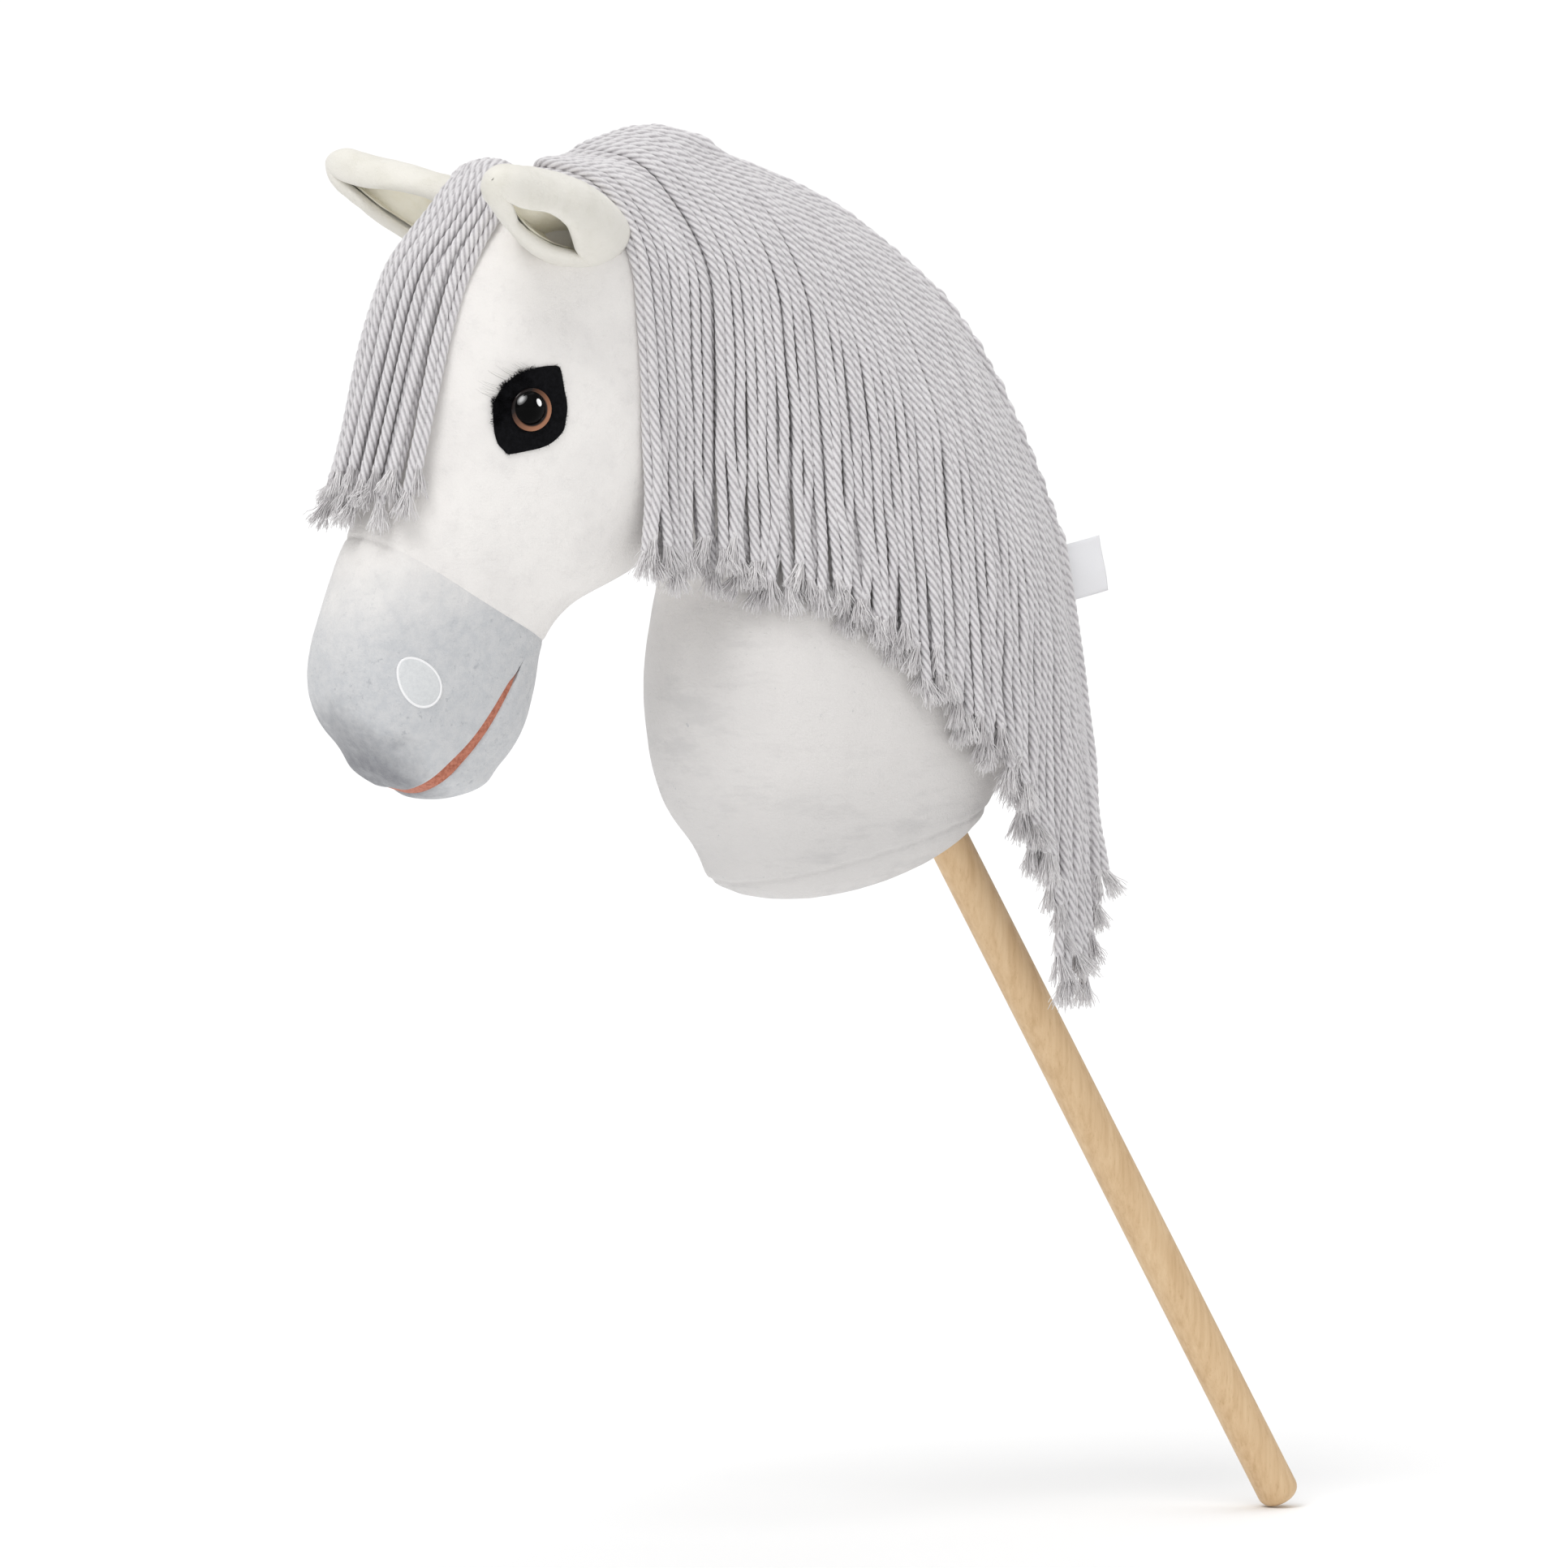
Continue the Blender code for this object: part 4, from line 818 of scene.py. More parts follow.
def iris():
    # painted light: the amber is painted bright at its lower back edge, where light falls through the dome,
    # and painted dark elsewhere
    look, here = newMaterial("eyeBrown", (134, 84, 52), 0.12, Specular_IOR_Level=0.25)
    x, z = eyeShape["place"]
    away = (here.axis("X") - x) * 0.75 - (here.axis("Z") - z) * 0.66
    lit = (away + here.noise(500.0, 2.0) * 0.002).between(-0.009, 0.008, 'LINEAR')
    # painted shade: bright along the middle of the part that shows, painted dark at the dome and at the rim
    band = (here.uv()[1] * (1.6 * circle / eyeShape["ringRun"])).sine().between(-0.4, 0.6)
    return feed(look, Base_Color=(lit * band).blend(colour(18, 9, 8), colour(162, 112, 84)))


blackFelt = felt("blackFelt", (8, 8, 10), (20, 20, 23), 0.96, 0.02)
blackGloss = gloss("eyeBlack", (0, 0, 0), 0.05)
lashFibre = fibre("lashFibre", (176, 173, 170))
brownGloss = iris()


def makeEye(side, label):
    skin = faceFrame(*eyeShape["place"], side)
    radius, height, thickness = eyeShape["radius"], eyeShape["height"], eyeShape["felt"]
    outline = closedCurve(eyeShape["patch"], 120)
    dress(feltPad("eyePatch" + label, skin, outline, thickness, blackFelt), "felt_black",
          "eye_patch_" + label.lower())
    seat = skin @ Matrix.Translation((*eyeShape["aside"], thickness + eyeShape["seat"]))
    bend = np.linspace(0.04, np.pi / 2, 22)[::-1]
    dome = np.column_stack([radius * np.cos(bend), height * np.sin(bend)])
    dome[0, 0] = 0.0001
    thick, length = eyeShape["shank"]
    shank = [(radius * 0.98, -0.0003), (thick, -0.0006), (thick, -length), (0.0001, -length)]
    domeSeat = seat @ Matrix.Translation((*eyeShape["domeAside"], 0.0))
    dress(turnedPiece("eyeDome" + label, np.vstack([dome, shank]), domeSeat, blackGloss), "eye_black",
          "eye_" + label.lower())
    ringIn, ringOut = eyeShape["ring"]
    swing = around(24)
    ring = np.column_stack([(ringIn + ringOut) / 2 + (ringOut - ringIn) / 2 * np.cos(swing),
                            eyeShape["ringHeight"] / 2 * (1 + np.sin(swing)) - 0.0002])
    dress(turnedPiece("eyeRing" + label, ring, seat, brownGloss, 72, looped=True), "iris_brown",
          "eye_ring_" + label.lower())
    makeLashes(side, label, skin, outline)
    makeFeltFuzz("eyeFuzz" + label, skin, outline, thickness)


def hairRoots(skin, edge):
    # the roots on the skin, its normals, the face frame's ways and each root's way out of the patch
    roots, normals = onSkin(skin, edge)
    turn = np.array(skin.to_3x3())
    return roots, normals, turn, unit(edge) @ turn[:, :2].T


def hairs(roots, ways, reach, radii, curl=0.0):
    # root + way * reach * t, with its curl's share of the reach * t squared added upwards
    t, reach = np.linspace(0, 1, len(radii))[None, :, None], reach[:, None, None]
    paths = roots[:, None] + ways[:, None] * reach * t + np.array([0, 0, 1.0]) * (reach * curl * t ** 2)
    return strands(paths, radii[None])


def makeLashes(side, label, skin, outline):
    # from the patch's upper front edge
    chance, count = np.random.default_rng(21 + side), eyeShape["lashes"]
    share = np.linspace(*eyeShape["lashed"], count) + chance.normal(0, 0.004, count)
    edge = outline[(share * len(outline)).astype(int) % len(outline)] * 0.97
    roots, normals, turn, outward = hairRoots(skin, edge)
    forward = -turn[:, 0] * 0.95 + turn[:, 1] * 0.16
    ways = unit(outward * 0.15 + forward + normals * 0.30 + chance.normal(0, 0.08, roots.shape))
    reach = eyeShape["lashLength"] * chance.uniform(0.65, 1.15, count)
    lashes = hairs(roots + normals * eyeShape["felt"], ways, reach, np.linspace(0.00010, 0.00004, 6), 0.16)
    dress(newPiece("lashes" + label, *lashes, lashFibre), "lash_black", "eyelashes_" + label.lower())


def makeFeltFuzz(name, skin, outline, thickness):
    # the felt's fibres: a few short ones round the cut edge, and clumps of long ones at the upper front
    chance = np.random.default_rng(5)
    few, many, clumps = eyeShape["edgeHairs"], eyeShape["tuftHairs"], eyeShape["tufts"]
    spot = chance.uniform(*eyeShape["tufted"], clumps)
    inward = 1 - chance.uniform(0, 1, clumps) ** 1.5 * 0.42
    clumpWay = chance.normal(0, 0.45, (clumps, 3))
    which = chance.integers(0, clumps, many)
    where = np.concatenate([chance.uniform(0, 1, few), spot[which] + chance.normal(0, 0.006, many)]) % 1.0
    inside = np.concatenate([chance.uniform(0.95, 1.0, few), inward[which] + chance.normal(0, 0.03, many)])
    edge = outline[(where * len(outline)).astype(int)] * np.clip(inside, 0.55, 1.01)[:, None]
    roots, normals, _, outward = hairRoots(skin, edge)
    shared = np.vstack([np.zeros((few, 3)), clumpWay[which] * 1.5])
    ways = unit(outward * 0.8 + normals * chance.uniform(0.0, 0.7, (few + many, 1)) + shared
                + chance.normal(0, 0.22, roots.shape))
    reach = np.concatenate([0.0014 * chance.uniform(0.3, 1.0, few), chance.uniform(0.0010, 0.0032, many)])
    fuzz = hairs(roots + normals * thickness * 0.9, ways, reach, np.linspace(0.00013, 0.00005, 3))
    dress(newPiece(name, *fuzz, blackFelt), "felt_black")


nostrilShape = {"place": (-0.4212, 0.190), "halfLength": 0.0145, "halfWidth": 0.0103, "sides": 12,
                "lean": math.radians(36), "point": 0.14, "felt": 0.0006, "rim": 0.0016, "rimHeight": 0.0013}
paleFelt = felt("nostrilFelt", (219, 221, 222), (209, 211, 213))
whiteThread = thread("nostrilThread", (253, 253, 254), 230)


def eggCurve(growth, count=96):
    # an ellipse, narrowed towards its upper end by the point's share and then turned by the lean
    turn = around(count)
    y = (nostrilShape["halfLength"] + growth) * np.sin(turn)
    x = (nostrilShape["halfWidth"] + growth) * np.cos(turn) * (1 - nostrilShape["point"] * np.sin(turn))
    c, s = math.cos(nostrilShape["lean"]), math.sin(nostrilShape["lean"])
    return np.column_stack([x * c - y * s, x * s + y * c])


def makeNostril(side, label):
    skin = faceFrame(*nostrilShape["place"], side)
    dress(feltPad("nostril" + label, skin, eggCurve(0.0007), nostrilShape["felt"], paleFelt), "felt_pale",
          "nostril_" + label.lower())
    # the stitched rim: a flattened tube along the egg
    half, tall, sides = nostrilShape["rim"] / 2, nostrilShape["rimHeight"] / 2, nostrilShape["sides"]
    line, normals = onSkin(skin, eggCurve(0.0003 + half))
    run = unit(np.roll(line, -1, axis=0) - np.roll(line, 1, axis=0))
    swing = around(sides)
    verts = tube(line, np.cross(run, normals), normals, half * np.cos(swing), tall * (np.sin(swing) + 0.7))
    uv = gridRows(np.arange(sides)[None] / sides, np.arange(len(line))[:, None] / len(line))
    rim = newPiece("nostrilRim" + label, verts, [gridQuads(len(line), sides, looped=True)], whiteThread,
                   uv=uv, closes=(1, 1))
    dress(fixNormals(rim), "thread_white", "nostril_rim_" + label.lower())


bothSides = ((left, "Left"), (right, "Right"))
for side, label in bothSides:
    makeEye(side, label)
    makeNostril(side, label)
print("face done")


# The mouth's felt, a wedge between the lips

def makeMouth():
    # the skin's own outline drawn in, and kept between the two lips
    blank = newPiece("mouthBlank", skinVerts - skinNormals * mouthShape["liningInset"], [skinQuads])
    limits = (("muzzle", -1, mouthShape["liningTuck"]), ("mouth", -1, mouthShape["liningGap"]),
              ("mouth", 1, "opened"))
    piece = skinPiece("mouthLining", blank, limits, felt("mouthFelt", (200, 132, 110), (158, 92, 72)),
                      0.0, seams["muzzle"]["upTo"])
    bpy.data.objects.remove(blank)
    return piece


dress(makeMouth(), "lip_pink", "mouth_lining")
print("mouth done")


# The ears

earShape = {
    "root": (-0.313, 0.452), "reach": (-0.089, 0.063, 0.034), "sunk": 0.022,
    "halfWidths": (0.0218, 0.0262, 0.0268, 0.0252, 0.0212, 0.0160, 0.0108),
    # half angle of the opening in degrees from root to tip, and the way it faces, turned from the top
    "slots": {left: (3, 4, 16, 42, 50, 26, 8), right: (6, 24, 58, 72, 64, 36, 10)},
    "turn": {left: 206.0, right: 234.0},
    "lowSide": {left: 0.10, right: 1.10},      # how far the wide part hangs to the opening's side
    "depthRatio": 0.90, "wall": 0.0090, "lining": 0.0016, "gap": 0.0006,
    "bowl": 0.05,                              # the lining's depth as a share of a round one's
    "rings": 64, "arc": 56, "lip": 10,
}


def earSurface(side, outer, wall, slotMore=0.0, depth=1.0):
    # section(v) at each ring(u): an open arc of that radius, thick by the wall, its two edges half circles;
    # behind its middle the arc is as deep as that share
    mirror = np.array([1, side, 1])
    reach = np.array(earShape["reach"]) * mirror
    axis = unit(reach)
    top = unit(np.array([0, 0, 1.0]) - axis * axis[2])
    turn = math.radians(earShape["turn"][side])
    opens = top * math.cos(turn) + np.cross(axis, top) * math.sin(turn)
    x, z = earShape["root"]
    start = np.array(struck((x, side * far, z), (0, -side, 0))[0]) - axis * earShape["sunk"]
    length = np.linalg.norm(reach) + earShape["sunk"]
    t = 1 - (1 - np.linspace(0, 1, earShape["rings"])) ** 1.35
    stations = t * (len(earShape["halfWidths"]) - 1)
    fullWidths = catmullRom([[w] for w in earShape["halfWidths"]], stations)
    first = np.radians(catmullRom([[s] for s in earShape["slots"][side]], stations)) + slotMore
    t = t[:, None]
    widths = fullWidths * np.sqrt(np.clip(1 - ((t - 0.90) / 0.10).clip(0, 0.995) ** 2, 0.002, 1))
    aside = earShape["lowSide"][side] * (fullWidths - earShape["halfWidths"][-1])
    middle = start + axis * (length * t) + opens * aside
    radius = np.maximum(widths - outer * np.minimum(1, widths / 0.012), 0.0006)
    thick = np.minimum(wall, radius * 0.55)
    last, halfWay, half = circle - first, radius - thick / 2, thick / 2
    span = (last - first) * np.linspace(0, 1, earShape["arc"])
    lip = np.linspace(0, np.pi, earShape["lip"] + 2)[1:-1]
    bend = half * np.sin(lip) / np.maximum(halfWay, 0.001)
    angle = np.hstack([first + span, last + bend, last - span, first - bend])
    distance = np.hstack([radius + 0 * span, halfWay + half * np.cos(lip), radius - thick + 0 * span,
                          halfWay - half * np.cos(lip)])
    back = np.cos(angle) * distance * earShape["depthRatio"]
    flat = tube(middle, opens, np.cross(axis, opens), np.where(back < 0, back * depth, back),
                np.sin(angle) * distance)
    soft = softNoise(flat * mirror, 0.016, 11) * 0.0009 + softNoise(flat * mirror, 0.006, 12) * 0.0003
    faces = closedGrid(*angle.shape)
    return flat + pointNormals(flat, faces[0]) * soft[:, None], faces


earPlush = plushEar("earPlush", (232, 229, 221), (219, 216, 204))
earInside = plushEar("earInside", (244, 240, 224), (234, 226, 200))
for side, label in bothSides:
    wall = earShape["wall"]
    for name, surface, look, node in (
            ("earShell", earSurface(side, 0.0, wall), earPlush, "ear_"),
            ("earInside", earSurface(side, wall + earShape["gap"], earShape["lining"], 0.10,
                                     earShape["bowl"]), earInside, "ear_lining_")):
        dress(fixNormals(newPiece(name + label, *surface, look)), "ear_cream", node + label.lower())
print("ears done")


# Cords

cordShape = {"radius": 0.0031, "pitch": 0.0245, "plies": 4, "sides": 16, "spacing": 0.0021,
             "lift": 0.0050}
maneShape = {
    "cords": 104, "sections": 4, "rootFront": -0.316, "rootLow": 0.259,
    "steepness": 0.35, "bunched": 1.30, "bundle": ((0, -0.0055), (8, -0.0040), (20, -0.0036), (36, 0.0)),
    "bundleRun": 0.085, "pivot": (-0.190, 0, 0.215), "tapeWidth": 0.0060,
    "hangFront": -0.279, "hangBack": 0.056, "settle": (0.100, 0.28), "drapeDepth": 0.075,
    "fringe": ((-0.279, 0.252), (-0.232, 0.246), (-0.181, 0.229), (-0.132, 0.204), (-0.088, 0.163),
               (-0.053, 0.129), (-0.020, 0.088), (0.000, 0.036), (0.014, -0.013), (0.034, -0.008),
               (0.046, 0.020), (0.056, 0.046)),
    "endSpread": 0.0130, "hangJitter": 0.0007, "sway": 0.0007, "loose": 0.0022,
    "overCrest": (0.0100, 0.0035),
}
forelockShape = {"cords": 24, "root": -0.340, "rootWidth": 0.056, "hangWidth": 0.092, "end": 0.290,
                 "settle": 0.150, "flare": 0.012}
tasselShape = {"length": 0.0150, "root": 0.005, "strands": 72, "wide": 0.0074, "deep": 0.0056,
               "radii": (0.00030, 0.00030, 0.00030, 0.000285, 0.00027, 0.00024, 0.00018),
               "wave": 0.0015, "lean": 0.22}
cordMake = {"step": 0.0030, "rootStand": 0.014, "driftEase": 1.6}


def drapeFrame(point, root, outward):
    centre = point - outward * (point - root).dot(outward)
    centre.z = min(point.z, root.z - maneShape["drapeDepth"])
    way = point - centre
    return centre, way.normalized() if way.length > 0.0003 else outward


def drapedPath(root, outward, across, drift, settle, low, height, flare=0.0):
    # lies at its height over the skin, hangs straight down where nothing is under it, and moves aside
    # by its drift, at first fast and then slowly
    root, outward, across, down = Vector(root), Vector(outward), Vector(across), Vector((0, 0, -1))
    point, path, travelled, moved, rests = root.copy(), [root.copy()], 0.0, 0.0, True
    step = cordMake["step"]
    while point.z > low:
        _, way = drapeFrame(point, root, outward)
        follows = rests or travelled < cordMake["rootStand"]
        course = outward * way.z + down * way.dot(outward) if follows else down
        travelled += step
        still = 1 - min(max(travelled - maneShape["tapeWidth"], 0.0) / settle, 1.0)
        shift = drift * (1 - still ** cordMake["driftEase"])
        point = point + course * step + across * (shift - moved)
        moved = shift
        centre, way = drapeFrame(point, root, outward)
        hit, _ = struck(centre + way * 0.3, -way)
        reach = ((hit - centre).dot(way) if hit is not None else 0.0) + height(travelled)
        rests = (point - centre).length < reach
        if rests:
            point = centre + way * reach
        springy = max((root.z - point.z) / (root.z - low) - 0.35, 0.0) ** 1.5 * 1.9
        path.append(point + outward * (flare * springy))
    return softened(np.array([tuple(p) for p in path]), 5)


def softened(path, rounds):
    for _ in range(rounds):
        path = np.vstack([path[:1], (path[:-2] + path[1:-1] * 2 + path[2:]) / 4, path[-1:]])
    return path


def layerHeight(i, chance, bundle=0.0):
    # the cord's height over the skin: its layer, a small unevenness, and the bundle near its root
    layer = cordShape["radius"] + 0.0003 + (i % 2) * cordShape["lift"]
    wave, turn, length = chance.uniform(0.0, 0.0009), chance.uniform(0, 6.3), chance.uniform(0.015, 0.035)
    return lambda run: (layer + wave * (1 + math.sin(run / length + turn))
                        + bundle * math.exp(-(run / maneShape["bundleRun"]) ** 2))


def twistedCord(path, across, phase, loosen=0.006):
    # ring(v) at each step: radius * (a lobe a ply) turned with the lay; the columns follow the plies
    run = runAlong(path)
    steps = max(int(round(run[-1] / cordShape["spacing"])), 3) + 1
    rows, run = readAt(np.linspace(0, run[-1], steps), run, path), np.linspace(0, run[-1], steps)
    way = unit(np.gradient(rows, axis=0))
    sideWay = unit(across - way * (way @ across)[:, None])
    sides = cordShape["sides"]
    column = np.arange(sides) / sides
    turn = column * circle - (run / cordShape["pitch"] * circle + phase)[:, None]
    lobe = np.abs(np.cos(cordShape["plies"] / 2 * column * circle))
    swell = 1 + 0.10 * smoothStep(run, run[-1] - loosen, run[-1])
    radius = cordShape["radius"] * (0.70 + 0.33 * lobe ** 0.8) * swell[:, None]
    radius[0] *= 0.6
    radius[-1] *= 0.5
    verts = tube(rows, sideWay, np.cross(way, sideWay), np.cos(turn) * radius, np.sin(turn) * radius)
    return verts, closedGrid(steps, sides), gridRows(column, run[:, None])


def tassel(end, way, across, chance):
    # strands open like a bell: start + way * length * t + (oval point) * t ** 1.7 + a random bend
    count, root = tasselShape["strands"], tasselShape["root"]
    turn = chance.uniform(0, circle, count)
    share = np.sqrt(chance.uniform(0, 1, count))
    way = unit(way + chance.normal(0, tasselShape["lean"], 3))
    sideWay = unit(across - way * (way @ across))
    otherWay = np.cross(way, sideWay)
    spin = chance.normal(0, 0.5)
    sideWay, otherWay = (sideWay * np.cos(spin) + otherWay * np.sin(spin),
                         otherWay * np.cos(spin) - sideWay * np.sin(spin))
    aside = (sideWay * (np.cos(turn) * share)[:, None], otherWay * (np.sin(turn) * share)[:, None])
    inside = cordShape["radius"] * 0.72
    start = end - way * root + (aside[0] + aside[1]) * inside
    reach = (tasselShape["length"] + root) * chance.uniform(0.90, 1.03, count)
    fan = (aside[0] * (tasselShape["wide"] * chance.uniform(0.75, 1.25) - inside)
           + aside[1] * (tasselShape["deep"] - inside * 0.5))
    bendy = chance.normal(0, tasselShape["wave"], (count, 3))
    curly = chance.normal(0, tasselShape["wave"] * 0.5, (count, 3))
    t = np.linspace(0, 1, len(tasselShape["radii"]))[:, None]
    return (start[:, None] + way * (reach[:, None, None] * t)
            + fan[:, None] * (1.15 * t ** 1.7 - 0.15 * t ** 5)
            + bendy[:, None] * t ** 1.5 + curly[:, None] * (t * np.sin(t * 9)))


def cordPieces(name, paths, across, seed, node):
    # the twisted cords of one node, and their frayed ends
    chance = np.random.default_rng(seed)
    parts, faceSets, uvs, tones, fans, fanTones, first = [], [], [], [], [], [], 0
    for path in paths:
        run = runAlong(path)
        cut = run[-1] - tasselShape["length"]
        body = np.vstack([path[run < cut], readAt([cut], run, path)])
        verts, faces, uv = twistedCord(body, across, chance.uniform(0, circle))
        tone = chance.uniform(0.25, 0.75)
        parts.append(verts)
        faceSets += [one + first for one in faces]
        first += len(verts)
        uvs.append(uv)
        tones.append(np.full(len(verts), tone))
        fans.append(tassel(body[-1], unit(body[-1] - body[-4]), across, chance))
        fanTones.append(np.clip(tone + chance.normal(0, 0.22, tasselShape["strands"]), 0, 1))
    cords = newPiece(name, np.vstack(parts), faceSets, twisted, np.vstack(uvs), np.concatenate(tones),
                     (1, 0))
    dress(cords, "cord_grey", node)
    verts, faces = strands(np.concatenate(fans), np.array(tasselShape["radii"])[None], seed)
    tone = np.repeat(np.concatenate(fanTones), 3 * len(tasselShape["radii"]))
    dress(newPiece(name + "Ends", verts, faces, fringe, tone=tone), "cord_grey")


def crestLine(count):
    # points on the crest in the mirror plane, spaced by what shows from the side
    pivot = Vector(maneShape["pivot"])
    ways = [Vector((math.sin(turn), 0, math.cos(turn))) for turn in np.radians(np.linspace(-75, 100, 500))]
    points = [struck(pivot + way * 0.5, -way)[0] for way in ways]
    rows = np.array([(p.x, 0.0, p.z) for p in points if p.x >= maneShape["rootFront"]
                     and (p.x < pivot.x or p.z > maneShape["rootLow"])])
    run = runAlong(rows * np.array([1, 0, maneShape["steepness"]]))
    return softened(readAt(run[-1] * np.linspace(0, 1, count) ** maneShape["bunched"], run, rows), 4)


def makeMane():
    count, chance = maneShape["cords"], np.random.default_rng(7)
    crest = crestLine(count)
    run = unit(np.gradient(crest, axis=0))
    ups = np.column_stack([-run[:, 2], 0 * run[:, 0], run[:, 0]])
    bundles = np.interp(np.arange(count), *np.transpose(maneShape["bundle"]))
    heights = [layerHeight(i, chance, bundles[i]) for i in range(count)]
    roots = crest + ups * np.array([height(0) for height in heights])[:, None]
    hang = np.linspace(maneShape["hangFront"], maneShape["hangBack"], count)
    hang[1:-1] += chance.normal(0, maneShape["hangJitter"], count - 2)
    lows = np.interp(hang, *np.transpose(maneShape["fringe"]))
    lows += maneShape["endSpread"] * chance.uniform(-1, 1, count)
    settles = np.geomspace(*maneShape["settle"], count)
    across, loose = np.array([1.0, 0, 0]), maneShape["loose"]
    reach, drop = maneShape["overCrest"]
    paths = [drapedPath(root, (0, -1.0, 0), across, drift, settle, low, height)
             for root, drift, settle, low, height in zip(roots, hang - roots[:, 0], settles, lows, heights)]
    for path in paths:
        fall = smoothStep(path[0, 2] - path[:, 2], 0.06, 0.20)
        wave = np.sin(path[:, 2] / chance.uniform(0.010, 0.018) + chance.uniform(0, 6.3))
        low = smoothStep(path[-1, 2] + 0.10 - path[:, 2], 0.0, 0.10)
        bend = np.sin(path[:, 2] / chance.uniform(0.014, 0.024) + chance.uniform(0, 6.3))
        path[:, 0] += maneShape["sway"] * fall * wave + loose * low * bend
        path[:, 1] -= loose * low * chance.uniform(0.0, 1.6)
    paths = [np.vstack([path[0] + (0, reach, 0) - up * (drop + height(0)),
                        path[0] + (0, reach * 0.6, 0) - up * (drop * 0.2 + height(0) * 0.25), path])
             for path, up, height in zip(paths, ups, heights)]
    each = count // maneShape["sections"]
    for k in range(1, maneShape["sections"] + 1):
        cordPieces("maneCords%d" % k, paths[(k - 1) * each:k * each], across, 39 + k, "mane_%d" % k)
    makeTape(crest[3:], ups[3:])


tapeSection = np.array((     # y and height over the crest, round the band
    (0.0086, 0.0026), (0.0104, 0.0034), (0.0128, 0.0030), (0.0148, 0.0014), (0.0160, -0.0010),
    (0.0160, -0.0044), (0.0130, -0.0054), (0.0094, -0.0054), (0.0080, -0.0030), (0.0076, 0.0000),
))


def makeTape(line, ups):
    # the band over the cords' sewn ends on the far side: line + side * y(v) + up * height(v)
    verts = tube(line, np.array([0, 1.0, 0]), ups, tapeSection[:, 0], tapeSection[:, 1])
    uv = gridRows(tapeSection[:, 0], runAlong(line)[:, None])
    faces = closedGrid(len(line), len(tapeSection), -1)
    dress(fixNormals(newPiece("maneTape", verts, faces, ribbon(), uv=uv)), "cord_grey")


twisted, fringe = cordLook("maneCord", cordShape["pitch"]), fringeLook()
makeMane()
print("mane done")


def makeForelock():
    count, chance = forelockShape["cords"], np.random.default_rng(17)
    shares = np.linspace(-0.5, 0.5, count)
    heights = [layerHeight(i, chance) for i in range(count)]
    roots = []
    for share, height in zip(shares, heights):
        hit, normal = struck((forelockShape["root"], share * forelockShape["rootWidth"], far), (0, 0, -1))
        roots.append(hit + Vector((normal.x, 0, normal.z)).normalized() * height(0))
    drifts = shares * (forelockShape["hangWidth"] - forelockShape["rootWidth"])
    drifts = drifts + chance.normal(0, 0.0012, count)
    lows = forelockShape["end"] + maneShape["endSpread"] * chance.uniform(-1, 1, count)
    across = np.array([0, 1.0, 0])
    paths = [drapedPath(root, (-1.0, 0, 0), across, drift, forelockShape["settle"], low, height,
                        forelockShape["flare"])
             for root, drift, low, height in zip(roots, drifts, lows, heights)]
    cordPieces("forelockCords", paths, across, 77, "forelock")


makeForelock()
print("forelock done")


# The bare care label

labelShape = {"height": 0.230, "length": 0.046, "width": 0.034, "tuck": 0.010, "lean": math.radians(12),
              "curl": 0.006, "thickness": 0.0006}


def makeLabel():
    # point(s, w) = s along and w across, with a curl that grows with s squared
    length, width, tuck = labelShape["length"], labelShape["width"], labelShape["tuck"]
    hit, _ = struck((far, 0, labelShape["height"]), (-1, 0, 0))
    s, w = np.linspace(-tuck, length, 30)[:, None], np.linspace(-0.5, 0.5, 14)[None] * width
    share = np.clip(s / length, 0, 1)
    curl = labelShape["curl"] * share ** 2 * (1 + 12 * w) + 0.0008 * np.sin(w * 160 + s * 60)
    along, across = math.cos(labelShape["lean"]), math.sin(labelShape["lean"])
    x = hit.x + s * along - w * across - 0.006 * share ** 3
    z = hit.z + s * across + w * along
    quads = gridQuads(len(s), w.size, closed=False)
    label = newPiece("careRibbon", gridRows(x, -curl, z), [quads], ribbon(), uv=gridRows(s, w))
    solid = label.modifiers.new("thickness", 'SOLIDIFY')
    solid.thickness, solid.offset = labelShape["thickness"], 0.0
    dress(label, "label_white", "care_label")


makeLabel()

for node, shade in (("stick_sleeve", (226, 224, 214)), ("eye_washer_left", (120, 120, 124)),
                    ("eye_washer_right", (120, 120, 124))):
    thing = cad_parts[node]
    thing.data.materials.clear()
    thing.data.materials.append(fibre(node + "Look", shade))
print("inner pieces finished")


# Floor, light and camera

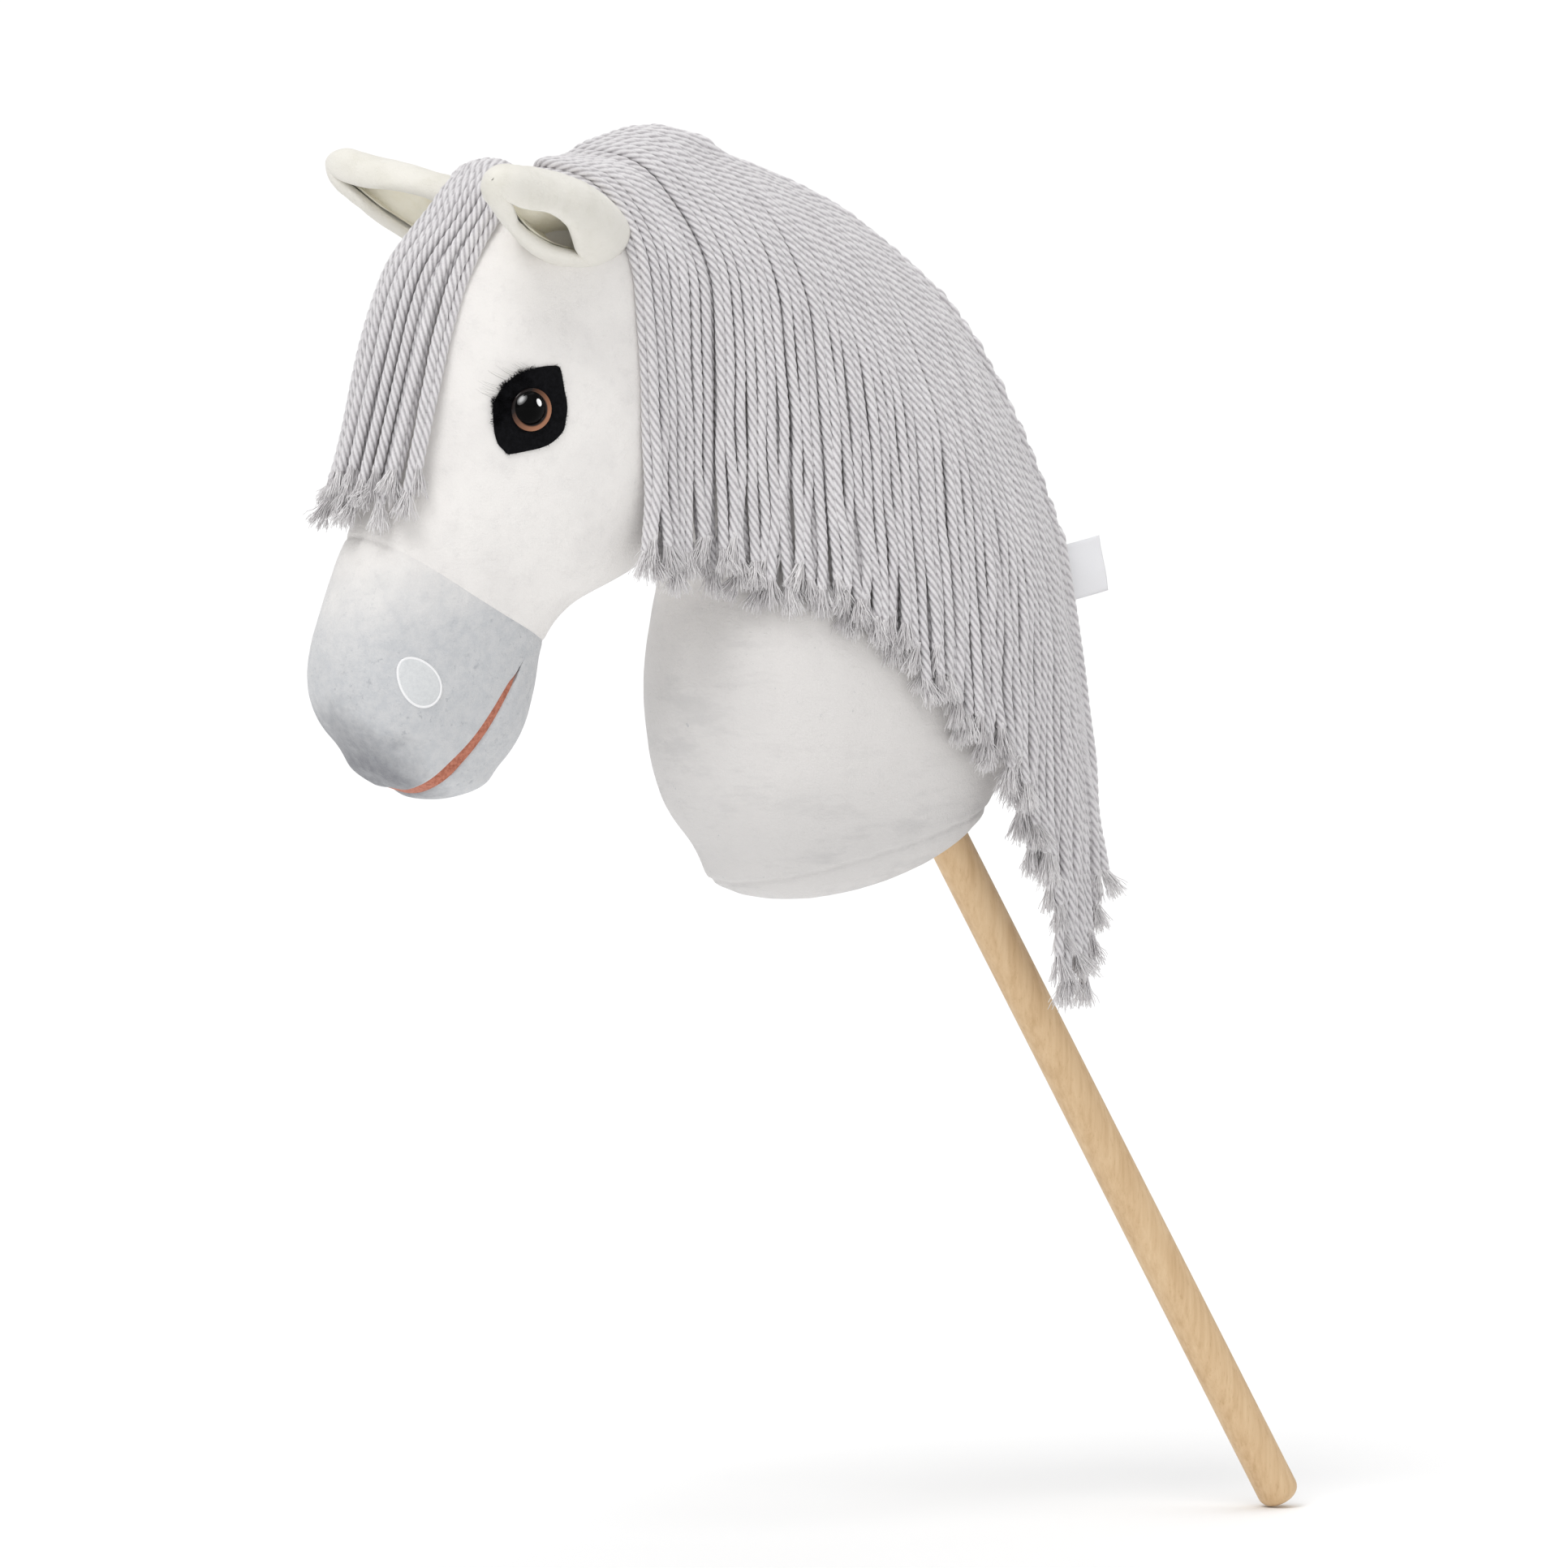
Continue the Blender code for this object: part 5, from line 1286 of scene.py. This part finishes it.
studio = {
    "floorSize": 60.0, "worldShade": (1.0, 1.0, 1.0, 1.0), "worldStrength": 0.50,
    "lights": (     # name, the way it comes from, width in degrees, strength
        ("keyLight", (-0.524, -0.278, 0.809), 24.0, 1.00),
        ("fillLight", (-0.300, -0.900, 0.350), 80.0, 0.50),
        ("topLight", (0.10, 0.15, 0.98), 60.0, 1.05),
        # these light only the eyes' domes
        ("softCatch", (-0.580, -0.370, 0.700), 64.0, 22.0),
        ("middleCatch", (-0.580, -0.370, 0.700), 48.0, 22.0),
        ("coreCatch", (-0.580, -0.380, 0.690), 30.0, 14.0),
        ("sideCatch", (0.780, -0.540, 0.290), 30.0, 36.0),
    ),
}
view = {"azimuth": -28.0, "elevation": 5.0, "distance": 12.0, "target": (-0.0613, 0.1741, 0.0980),
        "lens": 457.5, "sensor": 36.0}


def facing(way):
    # turned so that it looks against that way
    return (-Vector(way)).to_track_quat('-Z', 'Y').to_euler()


def makeStudio():
    size, low = studio["floorSize"], cadBounds[0][2] - 0.0006
    verts = [(-size, -size, low), (size, -size, low), (size, size, low), (-size, size, low)]
    look, here = newMaterial("studioFloor", (250, 250, 250), 0.9)
    feed(look, Base_Color=here.noise(3.0, 2.0).blend(colour(249, 249, 249), colour(251, 251, 251)))
    newPiece("floor", verts, [np.array([[0, 1, 2, 3]])], look)
    world = bpy.data.worlds.new("studio")
    world.use_nodes = True
    back = world.node_tree.nodes["Background"]
    back.inputs["Color"].default_value = studio["worldShade"]
    back.inputs["Strength"].default_value = studio["worldStrength"]
    bpy.context.scene.world = world
    eyes = bpy.data.collections.new("eyes")
    for name in ("eyeDomeLeft", "eyeDomeRight"):
        eyes.objects.link(bpy.data.objects[name])
    for name, way, width, strength in studio["lights"]:
        light = bpy.data.lights.new(name, 'SUN')
        light.angle, light.energy = math.radians(width), strength
        lamp = linked(name, light)
        lamp.rotation_euler = facing(way)
        if name.endswith("Catch"):
            lamp.light_linking.receiver_collection = eyes
    bpy.context.scene.view_settings.view_transform = 'Standard'


def makeCamera():
    azimuth, elevation = math.radians(view["azimuth"]), math.radians(view["elevation"])
    back = Vector((math.sin(azimuth) * math.cos(elevation), -math.cos(azimuth) * math.cos(elevation),
                   math.sin(elevation)))
    camera = bpy.data.cameras.new("camera")
    camera.lens, camera.sensor_width, camera.clip_end = view["lens"], view["sensor"], 200.0
    holder = linked("camera", camera)
    holder.location = Vector(view["target"]) + back * view["distance"]
    holder.rotation_euler = facing(back)
    bpy.context.scene.camera = holder


makeStudio()
makeCamera()

print("scene made")
